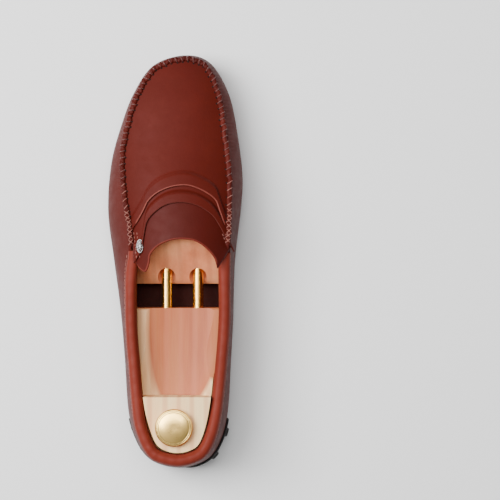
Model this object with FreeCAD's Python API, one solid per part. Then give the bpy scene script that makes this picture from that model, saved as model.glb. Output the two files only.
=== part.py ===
# A left driving moccasin with the twin-tube wooden shoe tree that keeps its shape.
# +Z is up, +Y points to the toe, +X to the inner (medial) side of the foot.
import FreeCAD, Part
import math
import os

V = FreeCAD.Vector

# ---- driving dimensions, millimetres -------------------------------------------------
SHOE_LENGTH = 286.0        # leather, heel to toe
SHOE_WIDTH = 93.4          # leather, at the ball of the foot
SOLE_GAP = 3.0             # height of the rubber pebbles under the leather
BULGE_HEIGHT = 18.0        # height at which the wall stands furthest out
UNDERFOOT_TUCK = 9.0       # how far the wall tucks in where it turns underfoot
LEATHER = 1.6              # wrap
APRON_LEATHER = 1.5
STRAP_LEATHER = 1.5
TONGUE_LEATHER = 2.0
LINING = 1.0
COUNTER = 1.2              # heel stiffener
LAYER_GAP = 0.22           # between neighbouring layers of the top
WALL_GAP = 0.35            # between neighbouring layers of the wall
RIDGE = 1.4                # wrap edge standing proud of the apron
APRON_FRONT = 5.5          # strap tucked under the apron
TONGUE_FRONT = 4.0         # tongue tucked under the strap
TONGUE_SPREAD = 0.95       # tongue's hidden front edge to the strap's width
RAMP = 3.4                 # length over which a top layer steps up on to the one below
RAMP_START = 1.3           # lower layer's edge to the foot of that step
COLLAR_WIDTH = 7.4
COLLAR_START = 150.0       # station where the collar goes under the strap
FOOTBED = 3.0
HEEL_CUSHION = 2.4
CUSHION_SHARE = 0.27       # of the shoe's length, from the heel
BED_SIDE_GAP = 0.6         # cushion and board to the counter
BOARD_GAP = 1.0            # between the cushion and the board
STRAP_STITCH_ROWS = (2.2, 4.4)  # in from the strap's edge
SEAM_START = 0.505         # the seam starts on the outer side, share of the length
SEAM_END = 0.51            # and ends on the inner side
RUBBER_BASE = 1.2
PEBBLE_DIA = 8.0
PEBBLE_PITCH = 11.0
PEBBLE_PROUD = 1.5         # pebbles standing out of the heel patch
HEEL_PEBBLE_DIA = 6.8
HEEL_PATCH_LOW = 14.5      # top edge behind and on the outer side
HEEL_PATCH_TOP = 31.0      # top edge on the inner side
HEEL_PATCH_RISE = (4.0, 15.0)  # x from which the top edge climbs, and where it is up
HEEL_PATCH_BOTTOM = 2.0    # its lower edge above the leather's underside
HEEL_PEBBLE_ROWS = ((9.6, 7, False), (19.5, 6, True))  # height, places, inner side only
SOLE_INSET = 6.0           # sole plates' edge behind the wall
HEEL_SOLE_SPAN = (0.075, 0.27)      # shares of the shoe's length
FOREFOOT_SOLE_SPAN = (0.48, 0.93)
HEEL_PATCH_REACH = 36.0    # how far forward the heel patch goes on both sides
THREAD = 0.9
SEAM_PITCH = 5.4
STITCH_LIFT = 0.6          # seam stitches over the ridge
COLLAR_PITCH = 4.0
COLLAR_SEAM_DROP = 1.6     # collar stitches below the wall's edge
STUD_LENGTH = 8.6
STUD_WIDTH = 4.6
STUD_HEIGHT = 1.6
STUD_POST = 1.8
STUD_PLACE = (-0.548, 0.546)   # share of the half width, share of the length
TREE_CLEARANCE = 0.8       # shoe tree to lining
GAP_FRONT = 129.0          # rear face of the toe block
GAP = 16.4                 # between the two blocks
PLATFORM_TOP = 58.0        # flat top of the heel block, under the knob
PLATFORM_FRONT = 53.7
SCOOP_FLOOR = 37.0         # top of the heel block ahead of the platform
DISH_DEPTH = 3.6           # oval hollow carved in that top
DISH_CENTRE = 10.0         # centre of its curve above the top
DISH_WIDTH = 46.0
DISH_REACH = 67.0          # from the hollow's middle back to its end
DISH_AHEAD = 5.0           # its middle ahead of the block's front face
DISH_X = 3.0
DISH_TURN = -7.0           # degrees
TUBE_DIA = 7.5
TUBE_WALL = 0.8
TUBE_SPACING = 21.4
TUBE_OFFSET = 3.4          # tube pair to the foot's axis, to the inner side
TUBE_HEIGHT = 27.5
TUBE_IN_TOE = 62.0
TUBE_IN_HEEL = 36.0
NOTCH_DIA = 12.2
NOTCH_DEPTH = 22.0
TRAVEL = 14.0
SLIDE_CLEARANCE = 0.09     # tube in heel block, on the radius
SPRING_WIRE = 0.8
SPRING_LENGTH = 26.0
SPRING_TURNS = 7
PIN_DIA = 2.4
PIN_CLEARANCE = 0.35
PIN_BACK = 17.5            # stop pin behind the heel block's front face
PIN_FLOOR = 3.0            # wood left under the pin
# toe block's rear slope: (ahead of the gap, height)
TOE_SLOPE = [(-1.0, 20.6), (0.0, 22.6), (1.2, 24.2), (5.0, 28.2), (11.5, 34.2), (20.0, 42.5),
             (31.0, 54.5), (42.0, 61.0)]
# heel block's scoop: (ahead of the platform's front, over the floor) and its front lip
SCOOP_REAR = [(0.0, 12.5), (8.0, 6.2), (21.0, 1.6), (36.0, 0.0)]
SCOOP_LIP = [(-3.0, 0.0), (-1.0, -0.35), (0.0, -1.3), (1.0, -3.2)]
TREE_LEVELS = (11.5, 15.0, 20.0, 27.0, 34.0, 41.0, 48.0, 54.0, 61.0)
COLLAR_RELIEF = (17.0, 7.0)   # wood draws in between these depths below the wall's edge
PIN_OVER = 1.5             # pin above the tube
SPRING_END = 0.5           # play at each end of the spring
PLUG_LENGTH = 4.0          # plug in the tube's end
TUBE_END = 3.0             # solid end of the tube in the toe block
KNOB_DIA = 25.0
KNOB_HEIGHT = 7.0
KNOB_STEM_DIA = 14.0
KNOB_STEM = 2.0
KNOB_Y = 33.7
KNOB_X = -1.0
SCREW_DIA = 4.0
SCREW_LENGTH = 22.0

# ---- shape of the last: a few key points, as fractions of the two overall sizes --------
HALF = SHOE_WIDTH / 2.0
OUTLINE = [(0.03, 0.009), (-0.27, 0.018), (-0.48, 0.040), (-0.635, 0.085), (-0.735, 0.150),
           (-0.79, 0.28),
           (-0.85, 0.39), (-0.95, 0.512), (-1.035, 0.627), (-0.99, 0.74), (-0.842, 0.832),
           (-0.652, 0.912), (-0.365, 0.978), (0.095, 1.003), (0.475, 0.985), (0.748, 0.912),
           (0.872, 0.824), (0.955, 0.716), (0.935, 0.634), (0.845, 0.506), (0.818, 0.366),
           (0.785, 0.261), (0.745, 0.150), (0.665, 0.085), (0.52, 0.040), (0.31, 0.018)]
# (place along the shoe, value): lean of the wall at its upper edge, on each side
LEAN_OUTER = [(0.0, 5.5), (0.15, 5.6), (0.39, 5.6), (0.47, 9.0), (0.53, 13.6), (0.57, 14.6),
              (0.655, 12.2), (0.78, 6.2), (0.90, 3.2), (1.01, 2.5)]
LEAN_INNER = [(0.0, 5.5), (0.15, 4.4), (0.26, 2.8), (0.39, 2.2), (0.47, 3.0), (0.57, 4.6),
              (0.655, 6.8), (0.78, 7.4), (0.90, 6.0), (0.96, 4.0), (1.01, 2.5)]
TOPLINE = [(0.0, 57.5), (0.09, 55.5), (0.21, 50.0), (0.33, 46.5), (0.42, 45.2), (0.52, 45.8)]
CROWN = [(0.44, 63.5), (0.50, 62.5), (0.56, 60.8), (0.635, 57.0), (0.68, 54.2), (0.78, 46.5),
         (0.91, 37.5), (0.97, 32.6), (1.01, 28.6)]
CURVE = [(0.44, 0.0150), (0.56, 0.0122), (0.655, 0.0098), (0.78, 0.0080), (0.91, 0.0074),
         (1.01, 0.0070)]
SPINE = [(0.44, 2.5), (0.56, 2.4), (0.655, 0.6), (0.78, -1.0), (0.91, -1.0), (1.01, 2.0)]
# edges of the apron, strap and tongue in plan, outer side to inner side
APRON_EDGE = [(-0.76, 0.574), (-0.535, 0.617), (-0.34, 0.658), (-0.11, 0.679), (0.15, 0.685),
              (0.38, 0.673), (0.565, 0.652), (0.65, 0.625), (0.80, 0.570)]
STRAP_EDGE = [(-0.60, 0.502), (-0.495, 0.532), (-0.465, 0.562), (-0.42, 0.597),
              (-0.32, 0.619), (-0.14, 0.639), (0.09, 0.645), (0.32, 0.637), (0.52, 0.616),
              (0.64, 0.588), (0.755, 0.551), (0.84, 0.528)]
TONGUE_EDGE = [(-0.55, 0.470), (-0.43, 0.484), (-0.38, 0.521), (-0.24, 0.545), (-0.055, 0.5575),
               (0.12, 0.560), (0.29, 0.555), (0.44, 0.539), (0.567, 0.514), (0.60, 0.490)]

# collar roll: (share of its width inwards, height over the wall's edge) round its section
COLLAR_SECTION = [(0.60, 0.45), (0.32, 0.42), (0.07, 0.55), (-0.03, 1.7), (0.06, 3.5),
                  (0.27, 4.8), (0.54, 5.2), (0.80, 4.2), (0.97, 2.0), (1.02, -0.8),
                  (1.00, -3.6), (0.93, -5.2), (0.84, -5.4), (0.77, -3.6), (0.73, -1.2)]
FOAM_MIDDLE = (0.49, 2.75)     # share of the collar's width, height
FOAM_RADII = (2.2, 1.25)

STATIONS = 84              # places along the wall
ROWS = 9                   # heights up the wall


def spline(points):
    """A smooth curve y(x) through (x, y) points, as a function held flat past its ends."""
    curve = Part.BSplineCurve()
    low, high = points[0][0], points[-1][0]
    curve.interpolate(Points=[V(x, y, 0) for x, y in points],
                      Parameters=[(x - low) / (high - low) for x, y in points])

    def value(x):
        share = min(1.0, max(0.0, (x - low) / (high - low)))
        return curve.value(share).y
    return value


lean_outer, lean_inner, topline = spline(LEAN_OUTER), spline(LEAN_INNER), spline(TOPLINE)
crown, curvature, spine = spline(CROWN), spline(CURVE), spline(SPINE)


def vamp(x, y):
    """Height of the top of the foot: a crown line with a parabola across it."""
    along = y / SHOE_LENGTH
    return crown(along) - curvature(along) * (x - spine(along)) ** 2


def smooth(value, start, end):
    """0 before start, 1 after end, with an S curve between."""
    share = min(1.0, max(0.0, (value - start) / (end - start)))
    return share * share * (3.0 - 2.0 * share)


def closed_curve(points):
    curve = Part.BSplineCurve()
    curve.interpolate(Points=points, PeriodicFlag=True)
    return curve.toShape()


def plan_curve(points):
    """Evenly spread points of a plan edge given in fractions, outer side to inner side."""
    curve = Part.BSplineCurve()
    curve.interpolate(Points=[V(x * HALF, y * SHOE_LENGTH, 0) for x, y in points])
    return curve.toShape()


OUTLINE_EDGE = closed_curve([V(x * HALF, y * SHOE_LENGTH, 0) for x, y in OUTLINE])


class Station:
    """A place on the outline: its point, the unit vector into the shoe, wall top and lean."""

    def __init__(self, point, inward):
        self.point = point
        self.inward = inward
        along = point.y / SHOE_LENGTH
        self.lean = lean_outer(along) if point.x < 0 else lean_inner(along)
        edge = point + inward * self.lean
        seam = vamp(edge.x, edge.y) + RIDGE
        share = smooth(point.y, 0.515 * SHOE_LENGTH, 0.555 * SHOE_LENGTH)
        self.top = topline(along) * (1.0 - share) + seam * share

    def inset(self, z):
        """How far the leather's outer face lies inside the outline at a height."""
        if z < BULGE_HEIGHT:
            return UNDERFOOT_TUCK * ((BULGE_HEIGHT - z) / (BULGE_HEIGHT - SOLE_GAP)) ** 2.4
        return self.lean * ((z - BULGE_HEIGHT) / (self.top - BULGE_HEIGHT)) ** 1.7

    def at(self, z, depth):
        place = self.point + self.inward * (self.inset(z) + depth)
        return V(place.x, place.y, z)


def ring_stations(count):
    points = OUTLINE_EDGE.discretize(Number=count + 1)[:-1]
    made = []
    for index in range(count):
        run = points[(index + 1) % count] - points[index - 1]
        inward = V(run.y, -run.x, 0)
        inward.normalize()
        made.append(Station(points[index], inward))
    return made


RING = ring_stations(STATIONS)


def heel_stations(reach):
    """Stations behind a place, in order from the outer side round the heel to the inner."""
    ring = ring_stations(STATIONS)
    behind = [s for s in ring if s.point.y < reach]
    outer = sorted([s for s in behind if s.point.x < 0.0], key=lambda s: -s.point.y)
    inner = sorted([s for s in behind if s.point.x >= 0.0], key=lambda s: s.point.y)
    return outer + inner


def poles_along(points):
    """Control points of a smooth curve through points; it joins smoothly if they close."""
    last = len(points) - 1
    closed = (points[0] - points[last]).Length < 1e-6
    made = []
    for index, point in enumerate(points):
        if closed and index in (0, last):
            tangent = (points[1] - points[last - 1]) * 0.5
        else:
            before, after = max(0, index - 1), min(last, index + 1)
            tangent = (points[after] - points[before]) * (1.0 / (after - before))
        if index > 0:
            made.append(point - tangent * (1.0 / 3.0))
        if index in (0, last):
            made.append(point)
        if index < last:
            made.append(point + tangent * (1.0 / 3.0))
    return made


def knots_along(count):
    return [4] + [2] * (count - 2) + [4], [float(i) for i in range(count)]


def skin(grid):
    """A smooth surface through a grid of points, row by row."""
    rows = [poles_along(row) for row in grid]
    columns = [poles_along([row[i] for row in rows]) for i in range(len(rows[0]))]
    poles = [[column[j] for column in columns] for j in range(len(columns[0]))]
    row_mults, row_knots = knots_along(len(grid))
    mults, knots = knots_along(len(grid[0]))
    surface = Part.BSplineSurface()
    surface.buildFromPolesMultsKnots(poles, row_mults, mults, row_knots, knots,
                                     False, False, 3, 3)
    return surface


def lid(surface, side):
    """A flat face closing the first or last row of a surface that wraps round."""
    u_low, u_high = surface.bounds()[:2]
    edge = surface.uIso(u_low if side == "low" else u_high).toShape()
    return Part.Face(Part.Wire(edge))


def sew(faces, name):
    shell = Part.makeCompound(faces)
    shell.sewShape(0.02)
    solid = Part.makeSolid(shell.Shells[0])
    if solid.Volume < 0:
        solid.reverse()
    if not solid.isValid():
        solid.fix(0.01, 0.01, 0.02)
    print("%-22s closed %s valid %s volume %.1f" % (name, solid.isClosed(), solid.isValid(),
                                                   solid.Volume))
    return solid


def rim(outer, inner, side):
    """The narrow face joining two matching grids along one of their four sides."""
    pick = {"low": lambda grid: grid[0], "high": lambda grid: grid[-1],
            "left": lambda grid: [row[0] for row in grid],
            "right": lambda grid: [row[-1] for row in grid]}[side]
    return skin([pick(outer), pick(inner)]).toShape()


def sheet(outer, inner, name, wraps=False):
    """A solid between two matching grids; wraps joins the first and last columns."""
    over, under = skin(outer), skin(inner)
    faces = [over.toShape(), under.toShape()]
    sides = ("low", "high") if wraps else ("low", "high", "left", "right")
    for side in sides:
        faces.append(rim(outer, inner, side))
    return sew(faces, name)


def plugged(grid, name):
    """A solid from a grid that wraps round, closed by a flat face at each end."""
    surface = skin(grid)
    return sew([surface.toShape(), lid(surface, "low"), lid(surface, "high")], name)


def wrapped(rows):
    return [row + [row[0]] for row in rows]


def wall_rows(stations, depth, low, drop):
    """Rows of points up a wall, from a height to the edge less a drop, at a depth."""
    rows = []
    for index in range(ROWS):
        share = index / (ROWS - 1.0)
        row = []
        for station in stations:
            z = low + (station.top - drop - low) * share
            row.append(station.at(z, depth))
        rows.append(row)
    return rows


parts = {}


# ---- leather upper -------------------------------------------------------------------
def make_wrap():
    """One piece of leather under the foot and up all round: a tub with a leaning wall."""
    outer = wrapped(wall_rows(RING, 0.0, SOLE_GAP, 0.0))
    inner = wrapped(wall_rows(RING, LEATHER, SOLE_GAP + LEATHER, 0.0))
    over, under = skin(outer), skin(inner)
    faces = [over.toShape(), under.toShape(), rim(outer, inner, "high"), lid(over, "low"),
             lid(under, "low")]
    parts["wrap"] = sew(faces, "wrap")


def coons(left, right, low, high, columns, rows):
    """Plan points of a four-sided patch from its edges, by blending opposite edges."""
    grid = []
    for j in range(rows):
        v = j / (rows - 1.0)
        row = []
        for i in range(columns):
            u = i / (columns - 1.0)
            edges = left[j] * (1 - u) + right[j] * u + low[i] * (1 - v) + high[i] * v
            corners = (low[0] * (1 - u) * (1 - v) + low[-1] * u * (1 - v)
                       + high[0] * (1 - u) * v + high[-1] * u * v)
            row.append(edges - corners)
        grid.append(row)
    return grid


def lift(plan, height):
    return [[V(p.x, p.y, height(p.x, p.y)) for p in row] for row in plan]


def seam_line(depth):
    """The seam's plan line from the strap's outer end round the toe to its inner end."""
    outer_side = [i for i in range(STATIONS) if RING[i].point.x <= 0]
    start = min(outer_side, key=lambda i: abs(RING[i].point.y - SEAM_START * SHOE_LENGTH))
    points = []
    for step in range(STATIONS):
        station = RING[(start + step * DIRECTION) % STATIONS]
        place = station.point + station.inward * (station.lean + depth)
        points.append(V(place.x, place.y, 0))
        if station.point.x > 0 and station.point.y < SEAM_END * SHOE_LENGTH:
            break
    curve = Part.BSplineCurve()
    curve.interpolate(Points=points)
    return curve.toShape()


DIRECTION = 1 if RING[1].point.x < RING[0].point.x else -1


def spread(edge, count, low=0.0, high=1.0):
    """Points evenly along a share of an edge."""
    length = edge.Length
    points = edge.discretize(Number=400)
    made = []
    for index in range(count):
        share = low + (high - low) * index / (count - 1.0)
        place = share * (len(points) - 1)
        base = min(int(place), len(points) - 2)
        made.append(points[base] + (points[base + 1] - points[base]) * (place - base))
    return made


def shifted(points, distance):
    return [p + V(0, distance, 0) for p in points]


def clipped(points, seam_points):
    """Plan edge points with the two ends moved on to the seam line."""
    for end in (0, -1):
        target = min(seam_points, key=lambda p: (p - points[end]).Length)
        shift = target - points[end]
        count = len(points)
        moved = []
        for index, point in enumerate(points):
            share = index / (count - 1.0)
            weight = max(0.0, 1.0 - 4.0 * (share if end == 0 else 1.0 - share))
            moved.append(point + shift * weight)
        points = moved
    return points


def edge_place(edge_points):
    """For a plan edge, a function of x giving the edge's y."""
    ordered = sorted([(p.x, p.y) for p in edge_points])

    def value(x):
        if x <= ordered[0][0]:
            return ordered[0][1]
        for (x0, y0), (x1, y1) in zip(ordered, ordered[1:]):
            if x <= x1:
                return y0 + (y1 - y0) * (x - x0) / max(1e-6, x1 - x0)
        return ordered[-1][1]
    return value


SEAM = seam_line(LEATHER + LAYER_GAP)
SEAM_POINTS = SEAM.discretize(Number=600)
apron_rear = spread(plan_curve(APRON_EDGE), 25)
apron_rear = clipped(apron_rear, SEAM_POINTS)
strap_rear = spread(plan_curve(STRAP_EDGE), 25)
tongue_rear = spread(plan_curve(TONGUE_EDGE), 25)
apron_rear_y = edge_place(apron_rear)
strap_rear_y = edge_place(strap_rear)


def tongue_floor(x, y):
    return vamp(x, y) + LAYER_GAP


def strap_floor(x, y):
    """Strap lies on the lining ahead of the tongue and steps up on to the tongue."""
    front = strap_rear_y(x) + TONGUE_FRONT
    step = 1.0 - smooth(y, front + RAMP_START, front + RAMP_START + RAMP)
    return vamp(x, y) + LAYER_GAP + step * (TONGUE_LEATHER + LAYER_GAP)


def apron_floor(x, y):
    """Apron lies on the lining at the toe and steps up over the front of the strap."""
    front = apron_rear_y(x) + APRON_FRONT
    step = 1.0 - smooth(y, front + RAMP_START, front + RAMP_START + RAMP)
    return vamp(x, y) + LAYER_GAP + step * (STRAP_LEATHER + LAYER_GAP)


def patch(left, right, low, high, floor, thickness, name, columns=25, rows=21):
    plan = coons(left, right, low, high, columns, rows)
    under = lift(plan, floor)
    over = lift(plan, lambda x, y: floor(x, y) + thickness)
    parts[name] = sheet(over, under, name)


def nearest(points, target):
    return min(range(len(points)), key=lambda i: (points[i] - target).Length)


def resample(points, count):
    total = [0.0]
    for a, b in zip(points, points[1:]):
        total.append(total[-1] + (b - a).Length)
    made = []
    base = 0
    for index in range(count):
        goal = total[-1] * index / (count - 1.0)
        while base < len(points) - 2 and total[base + 1] < goal:
            base += 1
        span = total[base + 1] - total[base]
        made.append(points[base] + (points[base + 1] - points[base]) * ((goal - total[base]) / span))
    return made


def line(a, b, count):
    return [a + (b - a) * (i / (count - 1.0)) for i in range(count)]


def toe_patch(rear, seam, floor, thickness, name):
    """A patch from a rear edge to the toe, with its other three edges along the seam."""
    first, last = nearest(seam, rear[0]), nearest(seam, rear[-1])
    run = seam[first:last + 1]
    corner_a, corner_b = int(len(run) * 0.40), int(len(run) * 0.60)
    left = resample([rear[0]] + run[1:corner_a + 1], 21)
    high = resample(run[corner_a:corner_b + 1], 25)
    right = resample(list(reversed(run[corner_b:-1])), 21)
    right[0] = rear[-1]
    patch(left, right, rear, high, floor, thickness, name)


def make_uppers():
    toe_patch(apron_rear, SEAM_POINTS, apron_floor, APRON_LEATHER, "apron")
    front = shifted(apron_rear, APRON_FRONT)
    front = [front[0] + V(1.0, -4.0, 0)] + front[1:-1] + [front[-1] + V(-1.0, -4.0, 0)]
    front = resample(front, 25)
    ends = (line(strap_rear[0], front[0], 21), line(strap_rear[-1], front[-1], 21))
    patch(ends[0], ends[1], strap_rear, front, strap_floor, STRAP_LEATHER, "penny_strap",
          rows=21)
    tuck = [V(p.x * TONGUE_SPREAD, p.y, 0) for p in shifted(strap_rear, TONGUE_FRONT)]
    ends = (line(tongue_rear[0], tuck[0], 13), line(tongue_rear[-1], tuck[-1], 13))
    patch(ends[0], ends[1], tongue_rear, tuck, tongue_floor, TONGUE_LEATHER, "tongue", rows=13)
    inner_seam = seam_line(LEATHER + COUNTER + LINING + 4 * LAYER_GAP).discretize(Number=600)
    rear = [V(p.x * 0.80, p.y + 12.0, 0) for p in strap_rear]
    rear = clipped(resample(rear, 25), inner_seam)
    toe_patch(rear, inner_seam, lambda x, y: vamp(x, y) - LINING, LINING, "vamp_lining")


# ---- lining, stiffener and footbed ---------------------------------------------------
LINING_DEPTH = LEATHER + COUNTER + 2 * WALL_GAP
BED_BASE = SOLE_GAP + LEATHER + LAYER_GAP


def rows_between(stations, low, drops, depth):
    rows = []
    for index in range(ROWS):
        share = index / (ROWS - 1.0)
        rows.append([s.at(low + (s.top - drop - low) * share, depth)
                     for s, drop in zip(stations, drops)])
    return rows


def make_lining():
    drops = [0.3 + 4.6 * smooth(s.point.y, 0.47 * SHOE_LENGTH, 0.53 * SHOE_LENGTH)
             + 1.2 * smooth(s.point.y, 0.53 * SHOE_LENGTH, 0.62 * SHOE_LENGTH) for s in RING]
    low = BED_BASE + FOOTBED + HEEL_CUSHION + 2 * LAYER_GAP
    outer = wrapped(rows_between(RING, low, drops, LINING_DEPTH))
    inner = wrapped(rows_between(RING, low, drops, LINING_DEPTH + LINING))
    parts["side_lining"] = sheet(outer, inner, "side_lining", wraps=True)


def make_counter():
    run = heel_stations(0.24 * SHOE_LENGTH)
    low = BED_BASE + 3.0
    depth = LEATHER + WALL_GAP
    ends = [0.6 + 16.0 * smooth(s.point.y, 0.12 * SHOE_LENGTH, 0.24 * SHOE_LENGTH) for s in run]
    outer = rows_between(run, low, ends, depth)
    inner = rows_between(run, low, ends, depth + COUNTER)
    parts["heel_counter"] = sheet(outer, inner, "heel_counter")


def footing(depth, low, thickness, reach=None):
    """A flat layer under the foot, following the wall at its own height."""
    wires = []
    for z in (low, low + thickness):
        points = [s.at(z, depth) for s in RING]
        wires.append(Part.Wire(closed_curve(points)))
    layer = Part.makeLoft(wires, True, False)
    if reach is not None:
        box = Part.makeBox(400, reach[1] - reach[0], 60, V(-200, reach[0], 0))
        layer = layer.common(box)
    return layer


def make_bed():
    depth = LEATHER + COUNTER + 2 * WALL_GAP
    parts["heel_cushion"] = footing(depth + BED_SIDE_GAP, BED_BASE, HEEL_CUSHION,
                                    (0.0, CUSHION_SHARE * SHOE_LENGTH))
    low = BED_BASE + HEEL_CUSHION + LAYER_GAP
    parts["footbed"] = footing(depth, low, FOOTBED)
    parts["insole_board"] = footing(depth + BED_SIDE_GAP, BED_BASE, HEEL_CUSHION,
                                    (CUSHION_SHARE * SHOE_LENGTH + BOARD_GAP,
                                     1.1 * SHOE_LENGTH))


# ---- collar --------------------------------------------------------------------------
def collar_ease(station):
    """The roll gets flatter toward the strap, which lies over its two ends."""
    return 1.0 - 0.35 * smooth(station.point.y, 0.42 * SHOE_LENGTH, 0.5 * SHOE_LENGTH)


def collar_ring(station):
    points = []
    ease = collar_ease(station)
    for across, up in COLLAR_SECTION + COLLAR_SECTION[:1]:
        place = station.at(station.top, across * COLLAR_WIDTH)
        raised = up * ease if up > 0.6 else up
        points.append(V(place.x, place.y, station.top + raised))
    return points


def make_collar():
    run = heel_stations(COLLAR_START)
    outer = [collar_ring(s) for s in run]
    skin_solid = plugged(outer, "collar_roll")
    hollow = plugged([foam_ring(s, 1.0) for s in run], "collar_hollow")
    parts["collar"] = skin_solid.cut(hollow)
    core = [foam_ring(s, 0.92) for s in run]
    parts["collar_foam"] = plugged(core, "collar_foam")


def foam_ring(station, share):
    points = []
    ease = collar_ease(station)
    count = len(COLLAR_SECTION)
    for index in range(count + 1):
        angle = 2.0 * math.pi * (index % count) / count - 2.0
        across = FOAM_MIDDLE[0] * COLLAR_WIDTH - FOAM_RADII[0] * share * math.cos(angle)
        up = (FOAM_MIDDLE[1] + FOAM_RADII[1] * share * math.sin(angle)) * ease
        place = station.at(station.top, across)
        points.append(V(place.x, place.y, station.top + up))
    return points


# ---- threads -------------------------------------------------------------------------
def stitch(a, b, dia):
    run = b - a
    return Part.makeCylinder(dia / 2.0, run.Length, a, run)


def make_threads():
    stitches = []
    points = resample([p for p in SEAM_POINTS], int(SEAM.Length / SEAM_PITCH))
    for index in range(1, len(points) - 1):
        run = points[index + 1] - points[index - 1]
        inward = V(run.y, -run.x, 0)
        inward.normalize()
        if DIRECTION < 0:
            inward = inward * -1.0
        along = V(run.x, run.y, 0)
        along.normalize()
        middle = points[index] - inward * (LEATHER / 2.0 + LAYER_GAP)
        if middle.y < apron_rear[0 if middle.x < 0 else -1].y + 2.0:
            continue
        a = middle - (inward + along) * THREAD
        b = middle + (inward + along) * THREAD
        height = vamp(middle.x, middle.y) + RIDGE + STITCH_LIFT
        for p in (a, middle, b, b + inward * THREAD):
            height = max(height, apron_floor(p.x, p.y) + APRON_LEATHER,
                         strap_floor(p.x, p.y) + STRAP_LEATHER)
        height += THREAD
        stitches.append(stitch(V(a.x, a.y, height), V(b.x, b.y, height), THREAD))
    parts["seam_thread"] = Part.makeCompound(stitches)
    ring = heel_stations(COLLAR_START)
    line_points = [s.at(s.top - COLLAR_SEAM_DROP, -THREAD) for s in ring]
    line_points = resample(line_points, int(sum((b - a).Length for a, b in
                                                zip(line_points, line_points[1:])) / COLLAR_PITCH))
    stitches = []
    for a, b in zip(line_points, line_points[1:]):
        stitches.append(stitch(a + (b - a) * 0.2, a + (b - a) * 0.8, THREAD * 0.8))
    parts["collar_thread"] = Part.makeCompound(stitches)
    stitches = []
    for side, end in ((1, 0), (-1, -1)):
        for row in STRAP_STITCH_ROWS:
            for index in range(5):
                share = (index + 0.5) / 6.0
                base = strap_rear[end] + (apron_rear[end] - strap_rear[end]) * share
                x, y = base.x + side * row, base.y + 2.0
                if abs(x - STUD_PLACE[0] * HALF) < STUD_WIDTH and abs(
                        y - STUD_PLACE[1] * SHOE_LENGTH) < STUD_LENGTH:
                    continue
                z = max(strap_floor(x, y), strap_floor(x, y + 2.0)) + STRAP_LEATHER + THREAD * 0.55
                stitches.append(stitch(V(x, y, z), V(x, y + 2.0, z), THREAD * 0.7))
    parts["strap_thread"] = Part.makeCompound(stitches)


def make_stud():
    """Small oval stud at the outer end of the strap, its post pressed through the leather."""
    x, y = STUD_PLACE[0] * HALF, STUD_PLACE[1] * SHOE_LENGTH
    base = max(strap_floor(x + i * STUD_WIDTH / 2, y + j * STUD_LENGTH / 2)
               for i in (-0.9, 0, 0.9) for j in (-0.9, 0, 0.9)) + STRAP_LEATHER + 0.05
    dome = Part.makeSphere(1.0)
    dome = dome.common(Part.makeBox(4, 4, 2, V(-2, -2, 0)))
    matrix = FreeCAD.Matrix()
    matrix.scale(STUD_WIDTH / 2.0, STUD_LENGTH / 2.0, STUD_HEIGHT)
    dome = dome.transformGeometry(matrix)
    dome.translate(V(x, y, base))
    post = Part.makeCylinder(STUD_POST / 2.0, 1.4, V(x, y, base - 1.3))
    parts["strap_stud"] = dome.fuse(post).removeSplitter()


# ---- rubber sole ---------------------------------------------------------------------
def pebbles(low_y, high_y, inset, name):
    """A rubber plate under the foot with rows of round pebbles below it."""
    plate = footing(inset, SOLE_GAP - RUBBER_BASE - 0.05, RUBBER_BASE)
    box = Part.makeBox(400, high_y - low_y, 60, V(-200, low_y, -20))
    plate = plate.common(box)
    outline = footing(inset + PEBBLE_DIA / 2.0 + 0.8, SOLE_GAP - 1.0, 0.5)
    studs = []
    rows = int((high_y - low_y - PEBBLE_DIA) / (PEBBLE_PITCH * 0.87))
    for row in range(rows + 1):
        y = low_y + PEBBLE_DIA / 2.0 + 1.0 + row * PEBBLE_PITCH * 0.87
        for column in range(-5, 6):
            x = (column + 0.5 * (row % 2)) * PEBBLE_PITCH
            if outline.isInside(V(x, y, SOLE_GAP - 0.75), 0.01, True):
                stud = Part.makeCylinder(PEBBLE_DIA / 2.0, SOLE_GAP - 1.0, V(x, y, 0))
                edge = [e for e in stud.Edges if e.Curve.TypeId == "Part::GeomCircle"
                        and e.CenterOfMass.z < 0.1]
                studs.append(stud.makeFillet(0.8, edge))
    parts[name] = plate.multiFuse(studs)
    print(name, len(studs), "pebbles")


def make_heel_patch():
    """Rubber patch up the back of the heel with its own pebbles."""
    run = heel_stations(HEEL_PATCH_REACH)
    low = SOLE_GAP + HEEL_PATCH_BOTTOM
    outer, inner = [], []
    for index in range(ROWS):
        share = index / (ROWS - 1.0)
        for rows, depth in ((outer, -RUBBER_BASE - WALL_GAP), (inner, -WALL_GAP)):
            row = []
            for s in run:
                high = smooth(s.point.x, HEEL_PATCH_RISE[0], HEEL_PATCH_RISE[1])
                high *= 1.0 - 0.6 * smooth(s.point.y, 0.03 * SHOE_LENGTH, HEEL_PATCH_REACH)
                top = HEEL_PATCH_LOW + (HEEL_PATCH_TOP - HEEL_PATCH_LOW) * high
                row.append(s.at(low + (top - low) * share, depth))
            rows.append(row)
    patch_solid = sheet(outer, inner, "heel_patch")
    studs = []
    count = len(run)
    for level, steps, only_inner in HEEL_PEBBLE_ROWS:
        for index in range(steps):
            s = run[int(round((index + 0.5) / steps * (count - 1)))]
            if only_inner and s.point.x < HEEL_PATCH_RISE[1]:
                continue
            base = s.at(level, -WALL_GAP - RUBBER_BASE * 0.5)
            outward = V(-s.inward.x, -s.inward.y, s.inset(level + 0.5) - s.inset(level - 0.5))
            outward.normalize()
            studs.append(Part.makeCylinder(HEEL_PEBBLE_DIA / 2.0,
                                           RUBBER_BASE * 0.5 + PEBBLE_PROUD, base, outward))
    parts["heel_patch"] = patch_solid.multiFuse(studs)


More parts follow.
